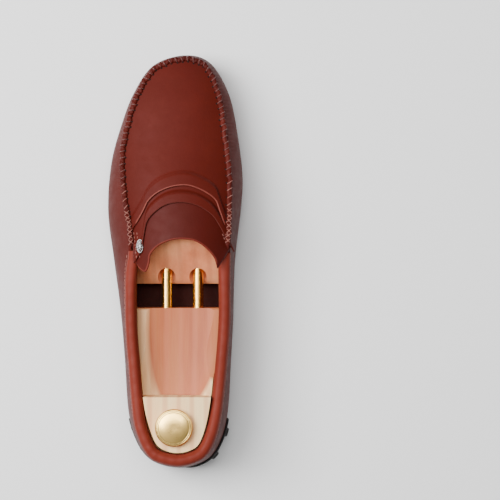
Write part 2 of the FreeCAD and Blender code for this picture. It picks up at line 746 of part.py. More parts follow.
# ---- shoe tree -----------------------------------------------------------------------
TREE_LOW = BED_BASE + HEEL_CUSHION + LAYER_GAP + FOOTBED + 0.25
HEEL_FRONT = GAP_FRONT - GAP
TUBE_X = (TUBE_OFFSET - TUBE_SPACING / 2.0, TUBE_OFFSET + TUBE_SPACING / 2.0)
COLLAR_SECTION_REACH = max(across for across, _ in COLLAR_SECTION)


def last_body():
    """The space inside the linings and below the collar, less the tree's clearance."""
    base = LINING_DEPTH + LINING + TREE_CLEARANCE
    grid = []
    for z in (TREE_LOW,) + TREE_LEVELS:
        row = []
        for s in RING:
            depth = min(s.inset(z), s.lean) + base
            behind = s.lean + COLLAR_SECTION_REACH * COLLAR_WIDTH + TREE_CLEARANCE
            share = smooth(z, s.top - COLLAR_RELIEF[0], s.top - COLLAR_RELIEF[1])
            share *= 1.0 - smooth(s.point.y, 0.54 * SHOE_LENGTH, 0.62 * SHOE_LENGTH)
            depth += max(0.0, behind - depth) * share
            place = s.point + s.inward * depth
            row.append(V(place.x, place.y, z))
        grid.append(row + [row[0]])
    return plugged(grid, "last")


def side_cut(profile, low=-80.0, high=80.0):
    """A prism across the shoe from a side-view outline of (y, z) points and a smooth floor."""
    floor = Part.BSplineCurve()
    floor.interpolate(Points=[V(low, y, z) for y, z in profile])
    start, end = profile[0], profile[-1]
    top = 90.0
    edges = [floor.toShape(),
             Part.makeLine(V(low, end[0], end[1]), V(low, end[0], top)),
             Part.makeLine(V(low, end[0], top), V(low, start[0], top)),
             Part.makeLine(V(low, start[0], top), V(low, start[0], start[1]))]
    return Part.Face(Part.Wire(edges)).extrude(V(high - low, 0, 0))


def rod(dia, x, y, z, length):
    return Part.makeCylinder(dia / 2.0, length, V(x, y, z), V(0, 1, 0))


def make_dish():
    """A shallow oval hollow in the heel block's top, off to the inner side."""
    drop = DISH_CENTRE / (DISH_CENTRE + DISH_DEPTH)
    spread_out = math.sqrt(1.0 - drop * drop)
    matrix = FreeCAD.Matrix()
    matrix.scale(DISH_WIDTH / 2.0 / spread_out, DISH_REACH / spread_out,
                 DISH_CENTRE + DISH_DEPTH)
    dish = Part.makeSphere(1.0).transformGeometry(matrix)
    dish.rotate(V(0, 0, 0), V(0, 0, 1), DISH_TURN)
    dish.translate(V(DISH_X, HEEL_FRONT + DISH_AHEAD, SCOOP_FLOOR + DISH_CENTRE))
    return dish.common(Part.makeBox(160, HEEL_FRONT + 40.0 - PLATFORM_FRONT, 60,
                                    V(-80, PLATFORM_FRONT, 0)))


def make_tree():
    last = last_body()
    ceiling = []
    for j in range(15):
        y = GAP_FRONT - 6.0 + (SHOE_LENGTH + 20.0 - GAP_FRONT) * j / 14.0
        row = []
        for i in range(13):
            x = -66.0 + 132.0 * i / 12.0
            row.append(V(x, y, vamp(x, y) - LINING - TREE_CLEARANCE))
        ceiling.append(row)
    floor = [[V(p.x, p.y, -10.0) for p in row] for row in ceiling]
    under_vamp = sheet(ceiling, floor, "under_vamp")
    front_box = Part.makeBox(200, 0.955 * SHOE_LENGTH - GAP_FRONT, 100, V(-100, GAP_FRONT, 0))
    toe = last.common(front_box).common(under_vamp)
    toe = toe.cut(side_cut([(GAP_FRONT + ahead, z) for ahead, z in TOE_SLOPE]))
    heel_box = Part.makeBox(200, HEEL_FRONT + 20.0, 100, V(-100, -20, 0))
    heel = last.common(heel_box)
    heel = heel.cut(Part.makeBox(200, 200, 60, V(-100, -50, PLATFORM_TOP)))
    scoop = [(PLATFORM_FRONT + ahead, SCOOP_FLOOR + up) for ahead, up in SCOOP_REAR]
    scoop += [(HEEL_FRONT + ahead, SCOOP_FLOOR + up) for ahead, up in SCOOP_LIP]
    heel = heel.cut(side_cut(scoop)).cut(make_dish())
    spring_back = HEEL_FRONT - TUBE_IN_HEEL - SPRING_LENGTH
    for x in TUBE_X:
        toe = toe.cut(rod(NOTCH_DIA, x, GAP_FRONT - 5.0, TUBE_HEIGHT, NOTCH_DEPTH + 5.0))
        toe = toe.cut(rod(TUBE_DIA, x, GAP_FRONT, TUBE_HEIGHT, TUBE_IN_TOE))
        bore = TUBE_DIA + 2.0 * SLIDE_CLEARANCE
        heel = heel.cut(rod(bore, x, spring_back, TUBE_HEIGHT, HEEL_FRONT + 5.0 - spring_back))
    knob_hole = Part.makeCylinder(SCREW_DIA / 2.0, SCREW_LENGTH + 1.0,
                                  V(KNOB_X, KNOB_Y, PLATFORM_TOP - SCREW_LENGTH - 1.0))
    heel = heel.cut(knob_hole)
    pin_y = HEEL_FRONT - PIN_BACK
    pin_low = TREE_LOW + PIN_FLOOR
    pin_high = TUBE_HEIGHT + TUBE_DIA / 2.0 + PIN_OVER
    for x in TUBE_X:
        heel = heel.cut(Part.makeCylinder(PIN_DIA / 2.0, pin_high - pin_low, V(x, pin_y, pin_low)))
    parts["toe_block"] = toe
    parts["heel_block"] = heel
    for name, x in zip(("outer", "inner"), TUBE_X):
        back = HEEL_FRONT - TUBE_IN_HEEL
        length = TUBE_IN_HEEL + GAP + TUBE_IN_TOE
        tube = rod(TUBE_DIA, x, back, TUBE_HEIGHT, length)
        tube = tube.cut(rod(TUBE_DIA - 2.0 * TUBE_WALL, x, back, TUBE_HEIGHT, length - TUBE_END))
        slot = PIN_DIA + 2.0 * PIN_CLEARANCE
        opening = Part.makeBox(slot, TRAVEL + slot, 60,
                               V(x - slot / 2.0, pin_y - slot / 2.0, TUBE_HEIGHT - 30.0))
        tube = tube.cut(opening)
        plug = rod(TUBE_DIA - 2.0 * TUBE_WALL, x, back, TUBE_HEIGHT, PLUG_LENGTH)
        parts["tube_" + name] = tube
        parts["tube_plug_" + name] = plug
        parts["stop_pin_" + name] = Part.makeCylinder(PIN_DIA / 2.0, pin_high - pin_low,
                                                      V(x, pin_y, pin_low))
        make_spring(name, x, spring_back + SPRING_END)


def make_spring(name, x, start):
    """A coil behind the tube, in the blind end of the heel block's bore."""
    radius = TUBE_DIA / 2.0 - SPRING_WIRE
    length = SPRING_LENGTH - 2.0 * SPRING_END - SPRING_WIRE
    helix = Part.makeHelix(length / SPRING_TURNS, length, radius)
    profile = Part.Wire(Part.makeCircle(SPRING_WIRE / 2.0, V(radius, 0, 0), V(0, 1, 0)))
    coil = Part.Wire(helix.Edges).makePipeShell([profile], True, True)
    coil.rotate(V(0, 0, 0), V(1, 0, 0), -90)
    coil.translate(V(x, start + SPRING_WIRE / 2.0, TUBE_HEIGHT))
    parts["spring_" + name] = coil


def make_knob():
    """Turned brass knob: a short stem under a wide flat cap with a raised bead."""
    r, low = KNOB_DIA / 2.0, PLATFORM_TOP + 0.02
    stem = KNOB_STEM_DIA / 2.0
    profile = [V(0, 0, low), V(stem, 0, low), V(stem, 0, low + KNOB_STEM),
               V(r - 0.8, 0, low + KNOB_STEM), V(r, 0, low + KNOB_STEM + 0.9),
               V(r, 0, low + KNOB_HEIGHT - 2.4), V(r - 0.7, 0, low + KNOB_HEIGHT - 1.4),
               V(r - 2.2, 0, low + KNOB_HEIGHT - 1.1)]
    crest, flat = low + KNOB_HEIGHT, 1.5
    top = Part.Arc(V(r - 2.2, 0, crest - 1.1), V(r * 0.5, 0, crest - 0.25), V(flat, 0, crest))
    edges = [Part.makeLine(a, b) for a, b in zip(profile, profile[1:])] + [top.toShape()]
    edges.append(Part.makeLine(V(flat, 0, crest), V(0, 0, crest)))
    edges.append(Part.makeLine(V(0, 0, crest), V(0, 0, low)))
    body = Part.Face(Part.Wire(edges)).revolve(V(0, 0, 0), V(0, 0, 1), 360)
    body.translate(V(KNOB_X, KNOB_Y, 0))
    hole = Part.makeCylinder(SCREW_DIA / 2.0, 3.5, V(KNOB_X, KNOB_Y, low - 0.5))
    parts["knob"] = body.cut(hole)
    screw = Part.makeCylinder(SCREW_DIA / 2.0, SCREW_LENGTH + 3.0,
                              V(KNOB_X, KNOB_Y, PLATFORM_TOP - SCREW_LENGTH))
    parts["knob_screw"] = screw


make_wrap()
make_uppers()
make_lining()
make_counter()
make_bed()
make_collar()
make_threads()
make_stud()
for name, span in (("heel_sole", HEEL_SOLE_SPAN), ("forefoot_sole", FOREFOOT_SOLE_SPAN)):
    pebbles(span[0] * SHOE_LENGTH, span[1] * SHOE_LENGTH, SOLE_INSET, name)
make_heel_patch()
make_tree()
make_knob()

# ---- origin at the middle of the base, then one file for each piece --------------------
everything = Part.makeCompound(list(parts.values())).optimalBoundingBox(False)
shift = V(-everything.Center.x, -everything.Center.y, -everything.ZMin)
print("size", everything.XLength, everything.YLength, everything.ZLength)
print("shift", shift)
os.makedirs("parts", exist_ok=True)
for name, shape in parts.items():
    shape = shape.copy()
    shape.translate(shift)
    shape.exportStep("parts/%s.step" % name)
    print("%-20s solids %d valid %s volume %.1f" % (name, len(shape.Solids), shape.isValid(),
                                                    shape.Volume))
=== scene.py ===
"""A left driving moccasin in red-brown calf, kept on a twin-tube cedar shoe tree.

All leather, thread, rubber and small trim are surfaces worked out with numpy around the fixed
frame; the cedar blocks and brass tubes keep the frame's shapes and get their finishes here.
Shapes are computed in millimetres on the shoemaker's axes (y from heel to toe, x to the inner
side) and placed in the frame's metres by `place`.
"""
import math

import bmesh
import bpy
import numpy as np
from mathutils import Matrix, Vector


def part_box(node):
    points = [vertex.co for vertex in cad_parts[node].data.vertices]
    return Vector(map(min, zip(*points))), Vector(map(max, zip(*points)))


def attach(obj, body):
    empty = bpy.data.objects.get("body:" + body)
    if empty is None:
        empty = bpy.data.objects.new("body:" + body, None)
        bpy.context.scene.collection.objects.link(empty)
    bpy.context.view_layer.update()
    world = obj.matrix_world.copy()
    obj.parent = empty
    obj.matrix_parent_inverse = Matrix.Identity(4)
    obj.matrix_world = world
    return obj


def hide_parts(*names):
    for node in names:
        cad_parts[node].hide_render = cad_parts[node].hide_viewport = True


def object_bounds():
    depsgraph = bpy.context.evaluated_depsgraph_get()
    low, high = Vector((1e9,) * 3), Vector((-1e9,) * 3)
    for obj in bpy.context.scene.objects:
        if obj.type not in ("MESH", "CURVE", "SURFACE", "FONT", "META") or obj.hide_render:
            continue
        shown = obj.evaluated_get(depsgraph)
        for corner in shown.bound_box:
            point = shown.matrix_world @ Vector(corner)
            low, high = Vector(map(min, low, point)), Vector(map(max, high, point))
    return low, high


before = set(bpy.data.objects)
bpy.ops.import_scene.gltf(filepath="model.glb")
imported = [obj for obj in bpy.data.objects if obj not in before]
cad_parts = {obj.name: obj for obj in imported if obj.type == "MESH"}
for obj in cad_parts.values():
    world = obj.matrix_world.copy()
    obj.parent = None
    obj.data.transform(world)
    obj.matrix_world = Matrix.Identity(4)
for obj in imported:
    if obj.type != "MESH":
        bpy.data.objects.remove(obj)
cad_low, cad_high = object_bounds()

# ---- driving sizes of the shoe, millimetres ---------------------------------------------
LENGTH, WIDTH = 286.0, 93.4
HALF = WIDTH / 2.0
SOLE_GAP = 3.0
BULGE = 18.0
TUCK = 9.0
LEATHER = 1.6
RIDGE = 1.4
VAMP_GAP = 0.22            # between layers of the top
APRON_THICK, STRAP_THICK, TONGUE_THICK = 1.5, 1.5, 2.0
STRAP_TUCK, TONGUE_TUCK = 5.5, 4.0     # length hidden under the layer above
RAMP_START, RAMP = 1.3, 3.4            # where a layer steps over the one below, and how long
COLLAR_WIDTH, COLLAR_START = 7.4, 150.0
COLLAR_FLATTEN = 0.35      # share of its height the collar loses toward the strap
PUCKER = 2.75              # pitch of the gathers at the toe
PUCKER_DEPTH = 0.75
RIDGE_WIDTH, RIDGE_HEIGHT = 1.75, 1.15  # half sizes of the sewn ridge
SEAM_PITCH = 5.4
SEAM_THREAD, CROSS_THREAD, COLLAR_THREAD = 0.30, 0.26, 0.24
STRAP_STITCH = (0.9, 1.7, 0.26)         # gap, length and half thickness
COUNTER, LINING_THICK, FOOTBED_THICK, CUSHION = 1.2, 1.0, 3.0, 2.4
LINING_DEPTH = LEATHER + COUNTER + 0.7
BED_LOW = SOLE_GAP + LEATHER + VAMP_GAP + CUSHION + VAMP_GAP
BED_TOP = BED_LOW + FOOTBED_THICK
PEBBLE, PEBBLE_PITCH, PEBBLE_ROWS, BASE_RUBBER = 8.0, 11.0, 11.0 * 0.87, 1.2
SOLE_INSET = 6.0
SOLES = {"heel_sole": (0.075, 0.27), "forefoot_sole": (0.48, 0.93)}  # shares of the length
PATCH_LOW, PATCH_HIGH, PATCH_REACH, PATCH_GAP, PATCH_PROUD = 14.5, 31.0, 36.0, 0.35, 1.5
PATCH_INNER = 15.0         # x beyond which the upper pebbles start
PATCH_ROWS = ((9.6, 7, -HALF), (19.5, 6, PATCH_INNER))  # height, places, lowest x
STUD_AT = (-0.512 * HALF, 0.5415 * LENGTH)
STUD_HALF, STUD_RISE, STUD_BEADS = (1.9, 4.3), 1.35, 26
KNOB_RINGS, GROOVE = (10.3, 11.3), 0.22
EYE, VIEW_ANGLE, SENSOR = (49.8, 152.3, 1200.0), 16.65, 36.0
MM = 0.001

# plan tables: (share of the half width, share of the length)
OUTLINE = [(0.03, 0.009), (-0.27, 0.018), (-0.48, 0.040), (-0.635, 0.085), (-0.735, 0.150),
           (-0.79, 0.28), (-0.85, 0.39), (-0.95, 0.512), (-1.035, 0.627), (-0.99, 0.74),
           (-0.842, 0.832), (-0.652, 0.912), (-0.365, 0.978), (0.095, 1.003), (0.475, 0.985),
           (0.748, 0.912), (0.872, 0.824), (0.955, 0.716), (0.935, 0.634), (0.845, 0.506),
           (0.818, 0.366), (0.785, 0.261), (0.745, 0.150), (0.665, 0.085), (0.52, 0.040),
           (0.31, 0.018)]
# along the shoe: (share of the length, value)
LEAN_OUTER = [(0.0, 5.5), (0.15, 5.6), (0.39, 5.6), (0.47, 9.0), (0.53, 13.6), (0.57, 14.6),
              (0.655, 12.2), (0.78, 6.2), (0.90, 3.2), (1.01, 2.5)]
LEAN_INNER = [(0.0, 5.5), (0.15, 4.4), (0.26, 2.8), (0.39, 2.2), (0.47, 3.0), (0.57, 4.6),
              (0.655, 6.8), (0.78, 7.4), (0.90, 6.0), (0.96, 4.0), (1.01, 2.5)]
TOPLINE = [(0.0, 57.5), (0.09, 55.5), (0.21, 50.0), (0.33, 46.5), (0.42, 45.2), (0.52, 45.8)]
CROWN = [(0.44, 63.5), (0.50, 62.5), (0.56, 60.8), (0.635, 57.0), (0.68, 54.2), (0.78, 46.5),
         (0.91, 37.5), (0.97, 32.6), (1.01, 28.6)]
CURVE = [(0.44, 0.0150), (0.56, 0.0122), (0.655, 0.0098), (0.78, 0.0080), (0.91, 0.0074),
         (1.01, 0.0070)]
SPINE = [(0.44, 2.5), (0.56, 2.4), (0.655, 0.6), (0.78, -1.0), (0.91, -1.0), (1.01, 2.0)]
# rear edges of the layers in plan
APRON_EDGE = [(-0.76, 0.574), (-0.535, 0.617), (-0.34, 0.658), (-0.11, 0.679), (0.15, 0.685),
              (0.38, 0.673), (0.565, 0.652), (0.65, 0.625), (0.80, 0.570)]
STRAP_EDGE = [(-0.60, 0.502), (-0.495, 0.532), (-0.465, 0.562), (-0.42, 0.597), (-0.32, 0.619),
              (-0.14, 0.639), (0.09, 0.645), (0.32, 0.637), (0.52, 0.616), (0.64, 0.588),
              (0.755, 0.551), (0.84, 0.528)]
TONGUE_EDGE = [(-0.57, 0.503), (-0.50, 0.489), (-0.43, 0.4845), (-0.385, 0.503),
               (-0.362, 0.524), (-0.24, 0.545), (-0.055, 0.5575), (0.12, 0.560), (0.29, 0.555),
               (0.44, 0.539), (0.567, 0.514), (0.60, 0.490)]
# round the collar: (share of its width, height over the wall's edge)
COLLAR_SECTION = [(0.60, 0.45), (0.32, 0.42), (0.07, 0.55), (-0.03, 1.7), (0.06, 3.5),
                  (0.27, 4.8), (0.54, 5.2), (0.80, 4.2), (0.97, 2.0), (1.02, -0.8),
                  (1.00, -3.6), (0.93, -5.2), (0.84, -5.4), (0.77, -3.6), (0.73, -1.2)]


# ---- curves and placing -------------------------------------------------------------------
def smooth(value, start, end):
    """S curve: 0 before start, 1 after end, 3t^2 - 2t^3 between."""
    t = np.clip((np.asarray(value, float) - start) / (end - start), 0.0, 1.0)
    return t * t * (3.0 - 2.0 * t)


def through(points):
    """y(x) through (x, y) points: cubic Hermite pieces with the neighbours' mean slope."""
    px, py = np.array(points, float).T
    slope = np.gradient(py, px)

    def value(x):
        x = np.clip(np.asarray(x, float), px[0], px[-1])
        i = np.clip(np.searchsorted(px, x) - 1, 0, len(px) - 2)
        h = px[i + 1] - px[i]
        t = (x - px[i]) / h
        return ((2 * t**3 - 3 * t**2 + 1) * py[i] + (t**3 - 2 * t**2 + t) * h * slope[i]
                + (3 * t**2 - 2 * t**3) * py[i + 1] + (t**3 - t**2) * h * slope[i + 1])
    return value


def run_through(points, count, closed=False):
    """count points evenly spaced along a Catmull-Rom curve through the given ones."""
    p = np.array(points, float)
    if closed:
        p = np.vstack([p, p[:1]])
        before, after = p[-2], p[1]
    else:
        before, after = 2 * p[0] - p[1], 2 * p[-1] - p[-2]
    q = np.vstack([before, p, after])
    t = np.linspace(0, 1, 48, endpoint=False)[None, :, None]
    a, b, c, d = (q[k:len(q) - 3 + k, None, :] for k in range(4))
    fine = 0.5 * (2 * b + (c - a) * t + (2 * a - 5 * b + 4 * c - d) * t**2
                  + (3 * b - a - 3 * c + d) * t**3)
    fine = np.vstack([fine.reshape(-1, p.shape[1]), p[-1:]])
    return spaced(fine, count, closed)


def distance(points):
    """Length along a run of points, from its first one."""
    return np.concatenate([[0], np.cumsum(np.linalg.norm(np.diff(points, axis=0), axis=1))])


def unit(vectors):
    return vectors / np.linalg.norm(vectors, axis=-1, keepdims=True)


def upright(count):
    return np.tile([0.0, 0.0, 1.0], (count, 1))


def level(flat, height):
    """Plan points put at a height."""
    return np.column_stack([flat, np.full(len(flat), height)])


def spaced(fine, count, closed=False):
    """Points evenly spaced by length along a dense run of points."""
    length = distance(fine)
    goal = np.linspace(0, length[-1], count, endpoint=not closed)
    return np.stack([np.interp(goal, length, fine[:, k]) for k in range(fine.shape[1])], -1)


lean_outer, lean_inner, topline = through(LEAN_OUTER), through(LEAN_INNER), through(TOPLINE)
crown, curvature, spine = through(CROWN), through(CURVE), through(SPINE)


def vamp(x, y):
    """Top of the foot: a crown line less a parabola across it."""
    along = np.asarray(y) / LENGTH
    return crown(along) - curvature(along) * (x - spine(along)) ** 2


outline_fine = run_through(np.array(OUTLINE) * (HALF, LENGTH), 4000, closed=True)
wrap_low = np.array(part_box("wrap")[0])
ORIGIN = np.array([wrap_low[0] - outline_fine[:, 0].min() * MM,
                   wrap_low[1] - outline_fine[:, 1].min() * MM, 0.0])


def place(points):
    """Shoemaker's millimetres to the frame's metres."""
    return np.asarray(points) * MM + ORIGIN


class Wall:
    """The wall's stations: outline point, inward normal, lean, top and length so far."""

    def __init__(self, point):
        self.point = point
        step = np.roll(point, -1, 0) - np.roll(point, 1, 0)
        self.inward = unit(np.stack([step[:, 1], -step[:, 0]], -1))
        along = point[:, 1] / LENGTH
        self.lean = np.where(point[:, 0] < 0, lean_outer(along), lean_inner(along))
        edge = point + self.inward * self.lean[:, None]
        seam = vamp(edge[:, 0], edge[:, 1]) + RIDGE
        share = smooth(point[:, 1], 0.515 * LENGTH, 0.555 * LENGTH)
        self.top = topline(along) * (1 - share) + seam * share
        length = np.linalg.norm(np.roll(point, -1, 0) - point, axis=1)
        self.run = np.concatenate([[0], np.cumsum(length)[:-1]])

    def inset(self, z):
        """Wall profile: tucks in below the bulge, leans in above it."""
        below = TUCK * np.clip((BULGE - z) / (BULGE - SOLE_GAP), 0, 1) ** 2.4
        above = self.lean * np.clip((z - BULGE) / (self.top - BULGE), 0, 3) ** 1.7
        return np.where(z < BULGE, below, above)

    def at(self, z, depth):
        """Points at height z and a depth behind the leather's outer face."""
        z, depth = np.broadcast_arrays(z + 0.0 * self.top, depth + 0.0 * self.top)
        flat = self.point + self.inward * (self.inset(z) + depth)[..., None]
        return np.dstack([flat[..., 0], flat[..., 1], z])[0]

    def part(self, chosen):
        """The same wall at chosen stations, in order."""
        other = object.__new__(Wall)
        for name in ("point", "inward", "lean", "top", "run"):
            setattr(other, name, getattr(self, name)[chosen])
        return other


def ring(count):
    return Wall(run_through(np.array(OUTLINE) * (HALF, LENGTH), count, closed=True))


def heel_part(wall, reach):
    """Stations behind a place, from the outer side round the heel to the inner side."""
    count = len(wall.point)
    order = (np.arange(count) + count // 2) % count
    order = order[::-1] if wall.point[1, 0] < wall.point[0, 0] else order
    order = order[wall.point[order, 1] < reach]
    return wall.part(order)


# ---- meshes -----------------------------------------------------------------------------
def piece(name, verts, faces, material, body="shoe", node=None, slot=None):
    """A mesh object that moves with a body and may stand for one of the frame's nodes."""
    mesh = bpy.data.meshes.new(name)
    mesh.from_pydata(np.asarray(verts).tolist(), [], np.asarray(faces).tolist())
    mesh.polygons.foreach_set("use_smooth", [True] * len(mesh.polygons))
    mesh.materials.append(material)
    mesh.update()
    obj = bpy.data.objects.new(name, mesh)
    bpy.context.scene.collection.objects.link(obj)
    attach(obj, body)
    if node:
        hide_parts(node)
    return obj


def quads(rows, columns, wrap_rows=False, wrap_columns=False):
    """Four-sided faces of a grid of rows by columns, optionally joined round."""
    row = np.arange(rows if wrap_rows else rows - 1)[:, None]
    column = np.arange(columns if wrap_columns else columns - 1)[None, :]
    next_row, next_column = (row + 1) % rows * columns, (column + 1) % columns
    corners = [row * columns + column, row * columns + next_column, next_row + next_column,
               next_row + column]
    shape = (row.size, column.size)
    return np.stack([np.broadcast_to(c, shape) for c in corners], -1).reshape(-1, 4)


def grid_piece(name, grid, material, wrap_rows=False, wrap_columns=False, merge=0.000002,
               **words):
    """A surface from a (rows, columns, 3) grid of millimetre points."""
    faces = quads(*grid.shape[:2], wrap_rows, wrap_columns)
    obj = piece(name, place(grid).reshape(-1, 3), faces, material, **words)
    finish_mesh(obj, merge)
    return obj


def many(name, points, material, **words):
    """One mesh of many like solids, from (solids, rows, columns, 3) points joined round."""
    count, rows, columns = points.shape[:3]
    one = quads(rows, columns, wrap_columns=True)
    faces = (one[None] + (np.arange(count) * rows * columns)[:, None, None]).reshape(-1, 4)
    obj = piece(name, place(points.reshape(-1, 3)), faces, material, **words)
    finish_mesh(obj, 0.000002)


def capped(grid):
    """A tube's rings with each open end drawn together at its middle."""
    first, last = (np.repeat(grid[k].mean(0)[None, None], grid.shape[1], 1) for k in (0, -1))
    return np.concatenate([first, grid, last])


def finish_mesh(obj, merge):
    """Merges doubles at poles and seams and points every face outwards."""
    work = bmesh.new()
    work.from_mesh(obj.data)
    bmesh.ops.remove_doubles(work, verts=work.verts, dist=merge)
    bmesh.ops.dissolve_degenerate(work, edges=work.edges, dist=merge / 4)
    bmesh.ops.recalc_face_normals(work, faces=work.faces)
    work.to_mesh(obj.data)
    work.free()
    obj.data.polygons.foreach_set("use_smooth", [True] * len(obj.data.polygons))


def closed_sheet(name, over, under, material, ease=0.35, **words):
    """A closed leather sheet between two matching grids, its cut edge rounded by one row.

    Each row of the closed form is: under face, a rounded edge row, the over face, and back.
    """
    def border(grid):
        return np.concatenate([grid[0, :-1], grid[:-1, -1], grid[-1, :0:-1], grid[:0:-1, 0]])

    middle = (over + under) / 2.0
    rows, columns = over.shape[:2]
    size = rows * columns
    rim = border(np.arange(size).reshape(rows, columns, 1))[:, 0]
    out = border(middle) - np.roll(border(middle), 1, 0)
    out = np.roll(out, -1, 0) + out
    side = np.stack([out[:, 1], -out[:, 0], 0 * out[:, 0]], -1)
    side /= np.linalg.norm(side, axis=1, keepdims=True) + 1e-9
    centre = middle.reshape(-1, 3).mean(0)
    if np.sum(side * (border(middle) - centre)) < 0:
        side = -side
    edge = border(middle) + side * ease
    verts = np.concatenate([over.reshape(-1, 3), under.reshape(-1, 3), edge])
    top = quads(rows, columns)
    rounded = 2 * size + np.arange(len(rim))
    rim_next, rounded_next = np.roll(rim, -1), np.roll(rounded, -1)
    upper_band = np.stack([rim, rim_next, rounded_next, rounded], -1)
    lower_band = np.stack([rounded, rounded_next, size + rim_next, size + rim], -1)
    faces = np.concatenate([top, top[:, ::-1] + size, upper_band, lower_band])
    finish_mesh(piece(name, place(verts), faces, material, **words), 0.000004)


# ---- finishes -----------------------------------------------------------------------------
class Finish:
    """A material whose nodes are added one by one; steady values go on the shader itself."""

    def __init__(self, name, **shader):
        self.material = bpy.data.materials.new(name)
        self.material.use_nodes = True
        self.nodes = self.material.node_tree.nodes
        self.links = self.material.node_tree.links
        self.shader = self.nodes["Principled BSDF"]
        for key, value in shader.items():
            self.shader.inputs[key.replace("_", " ")].default_value = value
        self.place = self.nodes.new("ShaderNodeTexCoord").outputs["Object"]

    def node(self, kind, inputs=None, **settings):
        made = self.nodes.new(kind)
        for key, value in settings.items():
            setattr(made, key, value)
        for key, value in (inputs or {}).items():
            if isinstance(value, bpy.types.NodeSocket):
                self.links.new(value, made.inputs[key])
            else:
                made.inputs[key].default_value = value
        return made

    def stretched(self, scale, turn=(0, 0, 0)):
        return self.node("ShaderNodeMapping", {"Vector": self.place, "Scale": scale,
                                               "Rotation": turn}).outputs[0]

    def noise(self, scale, detail=4.0, rough=0.55, vector=None):
        return self.node("ShaderNodeTexNoise", {"Vector": vector or self.place, "Scale": scale,
                                                "Detail": detail,
                                                "Roughness": rough}).outputs["Fac"]

    def cells(self, scale):
        return self.node("ShaderNodeTexVoronoi",
                         {"Vector": self.place, "Scale": scale}).outputs["Distance"]

    def ramp(self, value, stops):
        made = self.node("ShaderNodeValToRGB", {"Fac": value})
        bar = made.color_ramp.elements
        while len(bar) < len(stops):
            bar.new(0.5)
        for slot, (where, colour) in zip(bar, stops):
            slot.position = where
            slot.color = (*colour, 1)
        return made.outputs["Color"]

    def grey(self, value, low, high, out_low, out_high):
        return self.node("ShaderNodeMapRange", {"Value": value, "From Min": low, "From Max": high,
                                                "To Min": out_low, "To Max": out_high}).outputs[0]

    def mix(self, share, a, b):
        made = self.node("ShaderNodeMix", data_type="RGBA", blend_type="MIX")
        for key, value in ((0, share), (6, a), (7, b)):
            if isinstance(value, bpy.types.NodeSocket):
                self.links.new(value, made.inputs[key])
            else:
                made.inputs[key].default_value = (*value, 1) if key else value
        return made.outputs[2]

    def maths(self, how, a, b):
        return self.node("ShaderNodeMath", {0: a, 1: b}, operation=how).outputs[0]

    def bump(self, height, strength, distance, before=None):
        inputs = {"Height": height, "Strength": strength, "Distance": distance}
        if before:
            inputs["Normal"] = before
        return self.node("ShaderNodeBump", inputs).outputs[0]

    def done(self, colour, rough, normal=None):
        for key, value in (("Base Color", colour), ("Roughness", rough), ("Normal", normal)):
            if value is not None:
                self.links.new(value, self.shader.inputs[key])
        return self.material


def calf(name, tone, light, dark, rough=0.50, grain=1.0):
    """Smooth dyed calf: soft clouding of the dye, fine pores, faint creases, satin finish."""
    f = Finish(name, Specular_IOR_Level=0.08)
    cloud = f.noise(14.0, 5.0, 0.6)
    spots = f.noise(160.0, 4.0, 0.6)
    colour = f.ramp(cloud, [(0.28, dark), (0.52, tone), (0.78, light)])
    colour = f.mix(f.grey(spots, 0.35, 0.75, 0.0, 0.35), colour, dark)
    pores = f.cells(1300.0)
    wrinkle = f.noise(420.0, 3.0, 0.7)
    roughness = f.grey(spots, 0.3, 0.7, rough - 0.05, rough + 0.08)
    normal = f.bump(pores, 0.10 * grain, 0.0003)
    normal = f.bump(wrinkle, 0.16 * grain, 0.0004, normal)
    normal = f.bump(f.noise(55.0, 3.0, 0.5), 0.10, 0.0012, normal)
    return f.done(colour, roughness, normal)


def cut_edge(name, dark, light):
    """Burnished cut edge of the leather: fibrous and matt, in the two tones given."""
    f = Finish(name, Specular_IOR_Level=0.3)
    fibre = f.noise(900.0, 4.0, 0.7, f.stretched((1, 1, 3)))
    colour = f.ramp(fibre, [(0.3, dark), (0.7, light)])
    return f.done(colour, f.grey(fibre, 0.3, 0.7, 0.5, 0.7), f.bump(fibre, 0.3, 0.0003))


def lining_hide(name, tone):
    """Unfinished vegetable-tanned lining: matt with a velvety nap."""
    f = Finish(name, Specular_IOR_Level=0.15)
    nap = f.noise(650.0, 5.0, 0.7)
    cloud = f.noise(30.0, 4.0)
    colour = f.ramp(cloud, [(0.3, tuple(c * 0.75 for c in tone)), (0.7, tone)])
    return f.done(colour, f.grey(nap, 0.3, 0.7, 0.68, 0.85), f.bump(nap, 0.35, 0.0003))


def waxed_thread(name, tone):
    """Waxed thread: two plies laid together, slight shine."""
    f = Finish(name, Sheen_Weight=0.2)
    ply = f.node("ShaderNodeTexWave", {"Vector": f.place, "Scale": 700.0, "Distortion": 2.0},
                 bands_direction="DIAGONAL").outputs["Fac"]
    colour = f.ramp(ply, [(0.2, tuple(c * 0.6 for c in tone)), (0.8, tone)])
    return f.done(colour, f.grey(ply, 0, 1, 0.62, 0.45), f.bump(ply, 0.5, 0.0003))


def moulded_rubber():
    """Black moulded rubber: dull, finely sparked surface with a little dust in patches."""
    f = Finish("moulded_rubber", Specular_IOR_Level=0.4)
    spark = f.noise(1500.0, 3.0, 0.8)
    dust = f.noise(90.0, 4.0, 0.6)
    colour = f.ramp(dust, [(0.35, (0.013, 0.012, 0.012)), (0.8, (0.035, 0.031, 0.03))])
    return f.done(colour, f.grey(dust, 0.3, 0.7, 0.55, 0.75), f.bump(spark, 0.25, 0.0002))


